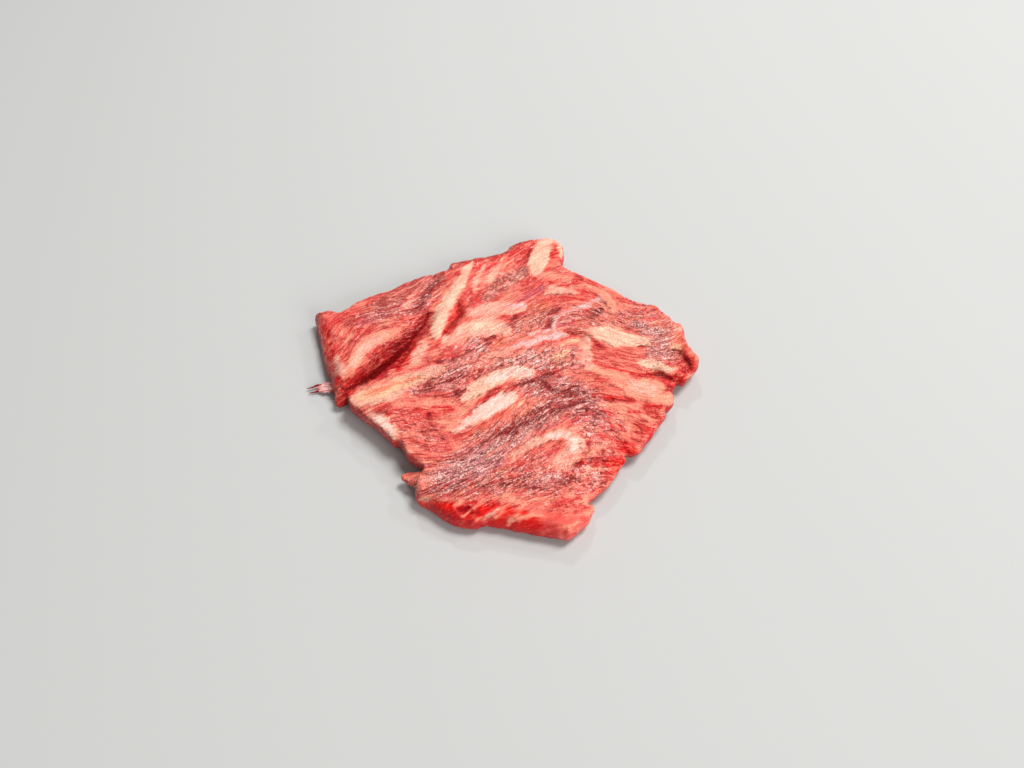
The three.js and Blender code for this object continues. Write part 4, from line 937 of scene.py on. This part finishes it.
def node(tree, kind, settings, values, output=0):
    """A node with its settings made first and then its sockets, by index or name."""
    made = tree.nodes.new(kind)
    for key, setting in settings.items():
        setattr(made, key, setting)
    pairs = values.items() if isinstance(values, dict) else enumerate(values)
    for key, value in pairs:
        socket = made.inputs[key]
        if isinstance(value, Link):
            tree.links.new(value.socket, socket)
        else:
            socket.default_value = value
    return Link(tree, made.outputs[output])


def mixed(tree, share, first, second, blend="MIX"):
    """A colour between two, by a share."""
    made = tree.nodes.new("ShaderNodeMix")
    made.data_type = "RGBA"
    made.blend_type = blend
    made.clamp_factor = True
    for socket, value in zip((made.inputs[0], made.inputs[6], made.inputs[7]), (share, first, second)):
        if isinstance(value, Link):
            tree.links.new(value.socket, socket)
        else:
            socket.default_value = value
    return Link(tree, made.outputs[2])


def tissue_rgba(name):
    return (*tint[name], 1.0)


def scaled(tree, vector, scales):
    return node(tree, "ShaderNodeVectorMath", {"operation": "MULTIPLY"}, [vector, scales])


def dimmed(tree, colour, share):
    return node(tree, "ShaderNodeVectorMath", {"operation": "SCALE"}, {0: colour, 3: share})


def read(tree, name, output="Vector"):
    made = tree.nodes.new("ShaderNodeAttribute")
    made.attribute_name = name
    return Link(tree, made.outputs[output])


def split(tree, vector):
    made = tree.nodes.new("ShaderNodeSeparateXYZ")
    tree.links.new(vector.socket, made.inputs[0])
    return [Link(tree, socket) for socket in made.outputs]


def noise(tree, vector, detail, roughness=0.55):
    settings = {"noise_dimensions": "3D"}
    return node(tree, "ShaderNodeTexNoise", settings,
                {"Vector": vector, "Scale": 1.0, "Detail": detail, "Roughness": roughness})


GRAIN_PER_MM = 2.2
CELLS_PER_MM = 0.42
SKIN_BUMP = 0.0005
FLESH_SCATTER = 0.0012
FILM_ROUGHNESS = 0.12


def raw_meat_material(name):
    """Wet raw meat: fibrous lean, waxy fat, painted shade in creases, painted glints, a thin wet film over
    all of it.
    """
    material = bpy.data.materials.new(name)
    material.use_nodes = True
    tree = material.node_tree
    tree.nodes.clear()
    flow_at = read(tree, "flow")
    fatness, fat_here, loose = split(tree, read(tree, "fat"))
    crease_shade, crevice, crease_shade_halo = split(tree, read(tree, "crease_shade"))
    crumbly, cut, _ = split(tree, read(tree, "finish"))
    ragged_here = loose * (1.0 - 0.75 * crumbly)
    place = node(tree, "ShaderNodeTexCoord", {}, {}, "Object")
    millimetres = scaled(tree, place, (1000, 1000, 1000))

    strands = noise(tree, scaled(tree, flow_at, (0.17, 0.85, 0.5)), 3.5, 0.62)
    fibres = noise(tree, scaled(tree, flow_at, (0.55, 2.7, 1.2)), 3.0, 0.65)
    grain = noise(tree, scaled(tree, millimetres, (GRAIN_PER_MM, GRAIN_PER_MM, GRAIN_PER_MM)), 1.0, 0.6)
    shreds = noise(tree, scaled(tree, flow_at, (0.3, 1.15, 0.8)), 3.0, 0.58)
    cells = noise(tree, scaled(tree, millimetres, (CELLS_PER_MM, CELLS_PER_MM, CELLS_PER_MM)), 3.0, 0.55)
    long_gap = (strands - 0.5).size() - 0.06 * crease_shade
    short_gap = (shreds - 0.5).size() - 0.16 * crease_shade
    cell_gap = (cells - 0.5).size()
    long_line = 1.0 - long_gap.step(0.006, 0.05)
    short_line = 1.0 - short_gap.step(0.006, 0.05)
    cell_line = 1.0 - cell_gap.step(0.006, 0.045)

    lean = dimmed(tree, read(tree, "lean_tint", "Color"), 0.5 + 1.0 * fibres)
    dark_strand = (1.0 - strands).step(0.52, 0.64) * (0.45 - 0.35 * loose)
    lean = mixed(tree, dark_strand, lean, tissue_rgba("crimson"))
    pale_strand = strands.step(0.53, 0.6) * (0.42 - 0.3 * cut) * (1.0 - crease_shade_halo)
    lean = mixed(tree, pale_strand, lean, tissue_rgba("peach"))
    pale_thread = fibres.step(0.54, 0.66) * (0.5 - 0.4 * cut)
    lean = mixed(tree, pale_thread, lean, tissue_rgba("peach"))
    crumbs = 0.45 * shreds + 0.35 * fibres + 0.2 * cells
    pale_crumb = loose * crumbs.step(0.42, 0.54) * (0.85 - 0.5 * crumbly) * (1.0 - 0.9 * crease_shade_halo)
    lean = mixed(tree, pale_crumb, lean, tissue_rgba("flesh"))

    fat = dimmed(tree, read(tree, "fat_tint", "Color"), 0.76 + 0.48 * fibres)
    fat_vein = (1.0 - strands).step(0.5, 0.62) * 0.5
    fat = mixed(tree, fat_vein, fat, tissue_rgba("coral"))
    measure = fatness + 0.8 * (fibres - 0.5) + 1.2 * (strands - 0.5)
    veil = measure.step(0.0, 0.45) * (0.66 - 0.4 * cut) * (1.0 - 0.5 * crease_shade_halo)
    colour = mixed(tree, veil, lean, tissue_rgba("coral"))
    colour = mixed(tree, measure.step(0.36, 0.85), colour, fat)
    # Speckle, most on torn fibres: own mottling, and painted shade of the rough surface in the dark dots.
    speckled = 1.0 + (0.15 + 0.12 * ragged_here - 0.1 * cut) * (2.0 * grain.step(0.36, 0.64) - 1.0)
    colour = dimmed(tree, colour, speckled)
    dark_dot = (1.0 - grain).step(0.54, 0.66) * (0.08 + 0.24 * ragged_here - 0.08 * cut)
    colour = mixed(tree, dark_dot, colour, tissue_rgba("crimson"))

    # Dark lines of fibres, shreds and cells, with painted shade along creases and in the relief's crevices.
    whole = 1.0 - 0.6 * fibres.step(0.40, 0.58)
    lines = long_line * whole * (0.6 + 0.4 * ragged_here - 0.3 * fat_here)
    lines = lines + short_line * whole * (0.1 + 0.55 * ragged_here + 1.0 * crease_shade)
    lines = lines + cell_line * (0.14 + 0.1 * loose + 0.76 * crumbly) * (1.0 - 0.5 * fat_here)
    lines = lines + 0.22 * crevice * (1.0 - fibres)
    lines = (lines * (1.0 - 0.85 * cut)).clamped()
    dark = mixed(tree, crumbly, tissue_rgba("maroon"), tissue_rgba("brick"))
    colour = mixed(tree, lines * 0.85, colour, dark)
    # Painted glints: tiny near-white flecks on the wet film, most where the fibres are torn.
    painted_glints = (0.5 * grain + 0.5 * shreds).step(0.57, 0.61) * (0.12 + 0.6 * ragged_here)
    colour = mixed(tree, painted_glints * (1.0 - 0.7 * crease_shade_halo) * (1.0 - cut), colour, tissue_rgba("sheen"))
    # Painted shade deep in the creases and pits: maroon, with no wet film.
    deep_crease_shade = (crease_shade * 0.95 + 1.6 * (fibres - 0.5)).step(0.62, 0.95)
    colour = mixed(tree, deep_crease_shade * 0.95, colour, tissue_rgba("maroon"))

    roughness = 0.36 + 0.1 * fat_here + 0.2 * (grain - 0.5)
    film = (0.2 + 0.5 * loose - 0.2 * fat_here - 0.7 * deep_crease_shade - 0.1 * cut).clamped()
    rough = 0.6 * fibres + 0.5 * grain * (0.4 + loose) + 0.5 * shreds * loose - 0.35 * lines
    bumps = rough * (1.0 - 0.6 * cut)
    normal = node(tree, "ShaderNodeBump", {}, {"Strength": 0.9, "Distance": SKIN_BUMP, "Height": bumps})
    shader = node(tree, "ShaderNodeBsdfPrincipled", {}, {
        "Base Color": colour, "Roughness": roughness, "Normal": normal,
        "Subsurface Weight": 0.08, "Subsurface Radius": (1.0, 0.35, 0.25), "Subsurface Scale": FLESH_SCATTER,
        "Specular IOR Level": 0.2, "Coat Weight": film, "Coat Roughness": FILM_ROUGHNESS, "Coat IOR": 1.38,
    })
    output = tree.nodes.new("ShaderNodeOutputMaterial")
    tree.links.new(shader.socket, output.inputs["Surface"])
    return material


slice_mesh.materials.append(raw_meat_material("raw_meat_slice"))
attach(steak_slice, "root")
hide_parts("skirt_steak")

# Loose lean at the rim: a tag of muscle at the near left corner and a red lobe under the mouth of
# the fold, both raw meat that still grows out of the slice.
# Each follows stations of (x, y, z, half width, half thickness).
RIM_PIECES = {
    "muscle_tag": [(-16, -40.2, 4.6, 3.2, 2.2), (-19.5, -40.2, 4.3, 2.9, 2.0),
                   (-22.5, -39.9, 3.8, 2.3, 1.5), (-24.8, -39.2, 3.5, 1.7, 1.0),
                   (-26.2, -38.8, 3.4, 1.1, 0.7), (-27, -38.6, 3.4, 0.5, 0.4)],
    "fold_lobe": [(-43.6, -6.4, 4.6, 1.2, 1.0), (-45, -8.8, 4.2, 2.2, 2.0),
                  (-46.2, -10.8, 3.6, 2.8, 2.6), (-47.4, -12.7, 2.8, 2.1, 2.2),
                  (-48.2, -14.2, 2.2, 1.0, 1.2)],
}
PIECE_SIDES = 28
PIECE_RINGS = 44


def grown_piece(stations, ripple, seed):
    """A closed tapering lump along its stations, with a rippled skin."""
    stations = np.array(stations, float)
    knots_at = np.linspace(0, 1, len(stations))
    shares = 0.5 - 0.5 * np.cos(np.pi * np.linspace(0, 1, PIECE_RINGS))
    spine = np.column_stack([np.interp(shares, knots_at, stations[:, k]) for k in range(5)])
    blunt = np.sqrt(1 - np.abs(2 * shares - 1) ** 5)
    heading = np.gradient(spine[:, :2], axis=0)
    heading /= np.linalg.norm(heading, axis=1)[:, None]
    side = np.column_stack([-heading[:, 1], heading[:, 0]])
    turn = 2 * np.pi * np.arange(PIECE_SIDES) / PIECE_SIDES
    ring_no, side_no = np.meshgrid(np.arange(PIECE_RINGS), np.arange(PIECE_SIDES), indexing="ij")
    swell = 1 + ripple * soft_noise(3 * np.cos(turn)[side_no] + seed, shares[ring_no] * 5, seed)
    swell += 0.6 * ripple * soft_noise(5 * np.sin(turn)[side_no] + seed, shares[ring_no] * 14, seed + 1)
    out = spine[ring_no, 3] * blunt[ring_no] * np.cos(turn)[side_no] * swell
    up = spine[ring_no, 4] * blunt[ring_no] * np.sin(turn)[side_no] * swell
    skin = np.stack([spine[ring_no, 0] + side[ring_no, 0] * out,
                     spine[ring_no, 1] + side[ring_no, 1] * out, spine[ring_no, 2] + up], -1)
    body = skin[1:-1].reshape(-1, 3)
    points = np.vstack([body, spine[0, :3], spine[-1, :3]])
    faces = []
    rings = PIECE_RINGS - 2
    for k in range(PIECE_SIDES):
        after = (k + 1) % PIECE_SIDES
        for ring in range(rings - 1):
            a, b = ring * PIECE_SIDES + k, ring * PIECE_SIDES + after
            faces += [(a, b, a + PIECE_SIDES), (b, b + PIECE_SIDES, a + PIECE_SIDES)]
        faces.append((len(body), after, k))
        last = (rings - 1) * PIECE_SIDES
        faces.append((len(body) + 1, last + k, last + after))
    points[:, 2] = np.maximum(points[:, 2], 0.02)
    return points, np.array(faces)


def join_to_slice(name, mesh):
    """Puts a grown piece in the scene, fixed to the slice."""
    piece = bpy.data.objects.new(name, mesh)
    bpy.context.scene.collection.objects.link(piece)
    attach(piece, "root")


for number, (name, stations) in enumerate(RIM_PIECES.items()):
    piece_points, piece_faces = grown_piece(stations, 0.22, 61 + number)
    piece_mesh = skin_mesh(name, piece_points, piece_faces)
    bare = np.zeros(len(piece_points))
    paint_tissue(piece_mesh, piece_points, bare, bare)
    piece_mesh.materials.append(bpy.data.materials["raw_meat_slice"])
    join_to_slice(name, piece_mesh)

# The sliver of membrane at the left edge: wet connective film, torn loose with the slice and still
# grown to it. It is a thin pale flake that ends in two dark threads.
MEMBRANE_PIECES = {
    "membrane_flake": [(-47.6, -6.0, 2.2, 2.0, 0.7), (-50, -6.2, 1.7, 2.3, 0.6),
                       (-52, -6.4, 1.3, 2.1, 0.45), (-53.8, -6.5, 1.1, 1.9, 0.35),
                       (-55.6, -6.6, 1.0, 1.2, 0.25)],
    "membrane_far_thread": [(-54.2, -5.6, 1.3, 0.4, 0.3), (-55.6, -5.7, 1.2, 0.35, 0.28),
                            (-57, -6.3, 1.0, 0.3, 0.25), (-58.8, -6.8, 0.9, 0.12, 0.12)],
    "membrane_near_thread": [(-53.8, -7.4, 1.0, 0.4, 0.3), (-55.2, -7.6, 0.8, 0.35, 0.26),
                             (-56.6, -8.0, 0.7, 0.25, 0.2), (-58, -8.2, 0.6, 0.12, 0.12)],
}


def membrane_material(name, pale, dark):
    """Wet membrane with fine streaks along it."""
    material = bpy.data.materials.new(name)
    material.use_nodes = True
    tree = material.node_tree
    tree.nodes.clear()
    place = node(tree, "ShaderNodeTexCoord", {}, {}, "Object")
    streaks = noise(tree, scaled(tree, place, (350, 1900, 1500)), 3.0)
    colour = mixed(tree, streaks.step(0.46, 0.62), tissue_rgba(pale), tissue_rgba(dark))
    normal = node(tree, "ShaderNodeBump", {}, {"Strength": 0.5, "Distance": 0.0002, "Height": streaks})
    shader = node(tree, "ShaderNodeBsdfPrincipled", {}, {
        "Base Color": colour, "Roughness": 0.3 + 0.2 * streaks, "Normal": normal,
        "Subsurface Weight": 0.1, "Subsurface Radius": (1.0, 0.5, 0.4), "Subsurface Scale": 0.001,
        "Coat Weight": 0.5, "Coat Roughness": 0.15,
    })
    output = tree.nodes.new("ShaderNodeOutputMaterial")
    tree.links.new(shader.socket, output.inputs["Surface"])
    return material


flake_finish = membrane_material("membrane_flake", "pearl", "wine")
thread_finish = membrane_material("membrane_thread", "brick", "maroon")
for number, (name, stations) in enumerate(MEMBRANE_PIECES.items()):
    piece_points, piece_faces = grown_piece(stations, 0.3, 71 + number)
    piece_mesh = skin_mesh(name, piece_points, piece_faces)
    piece_mesh.materials.append(flake_finish if "flake" in name else thread_finish)
    join_to_slice(name, piece_mesh)

# The floor: a plain pale matt surface that the slice rests on.
# It lies a hair under the slice, so that their faces don't meet.
FLOOR_HALF = 3.0
FLOOR_DROP = 0.00002
floor_mesh = bpy.data.meshes.new("floor")
corners = [(-FLOOR_HALF, -FLOOR_HALF, 0), (FLOOR_HALF, -FLOOR_HALF, 0),
           (FLOOR_HALF, FLOOR_HALF, 0), (-FLOOR_HALF, FLOOR_HALF, 0)]
floor_mesh.from_pydata(corners, [], [(0, 1, 2, 3)])
floor = bpy.data.objects.new("floor", floor_mesh)
floor.location.z = -FLOOR_DROP
bpy.context.scene.collection.objects.link(floor)
floor_material = bpy.data.materials.new("pale_floor")
floor_material.use_nodes = True
floor_shader = floor_material.node_tree.nodes["Principled BSDF"]
floor_shader.inputs["Base Color"].default_value = (0.5, 0.5, 0.49, 1)
floor_shader.inputs["Roughness"].default_value = 0.7
floor_mesh.materials.append(floor_material)

# Light: two broad soft panels, one above and one on the near side, which don't show in the gloss.
# Two small ones, beyond the slice and on its right, give the wet film its glints, and even light
# comes from all round.
# Each lamp has a place, a size, a power in watts and whether it shows in the gloss.
LAMPS = [
    ("overhead", (0.55, 0.4, 1.35), 0.5, 20.5, False),
    ("near_fill", (0.8, -1.0, 0.6), 0.7, 12.0, False),
    ("glint", (-0.1, 1.0, 0.9), 0.09, 3.0, True),
    ("right_glint", (0.9, 0.5, 0.8), 0.09, 2.0, True),
]
for name, place, size, power, shows_in_gloss in LAMPS:
    lamp_data = bpy.data.lights.new(name, "AREA")
    lamp_data.size = size
    lamp_data.energy = power
    lamp = bpy.data.objects.new(name, lamp_data)
    lamp.location = place
    lamp.rotation_euler = (-Vector(place)).to_track_quat("-Z", "Y").to_euler()
    lamp.visible_glossy = shows_in_gloss
    bpy.context.scene.collection.objects.link(lamp)
surroundings = bpy.data.worlds.new("surroundings")
surroundings.use_nodes = True
surroundings.node_tree.nodes["Background"].inputs["Color"].default_value = (1.0, 0.99, 0.98, 1)
surroundings.node_tree.nodes["Background"].inputs["Strength"].default_value = 0.24
bpy.context.scene.world = surroundings
bpy.context.scene.view_settings.view_transform = "Standard"
bpy.context.scene.view_settings.look = "None"
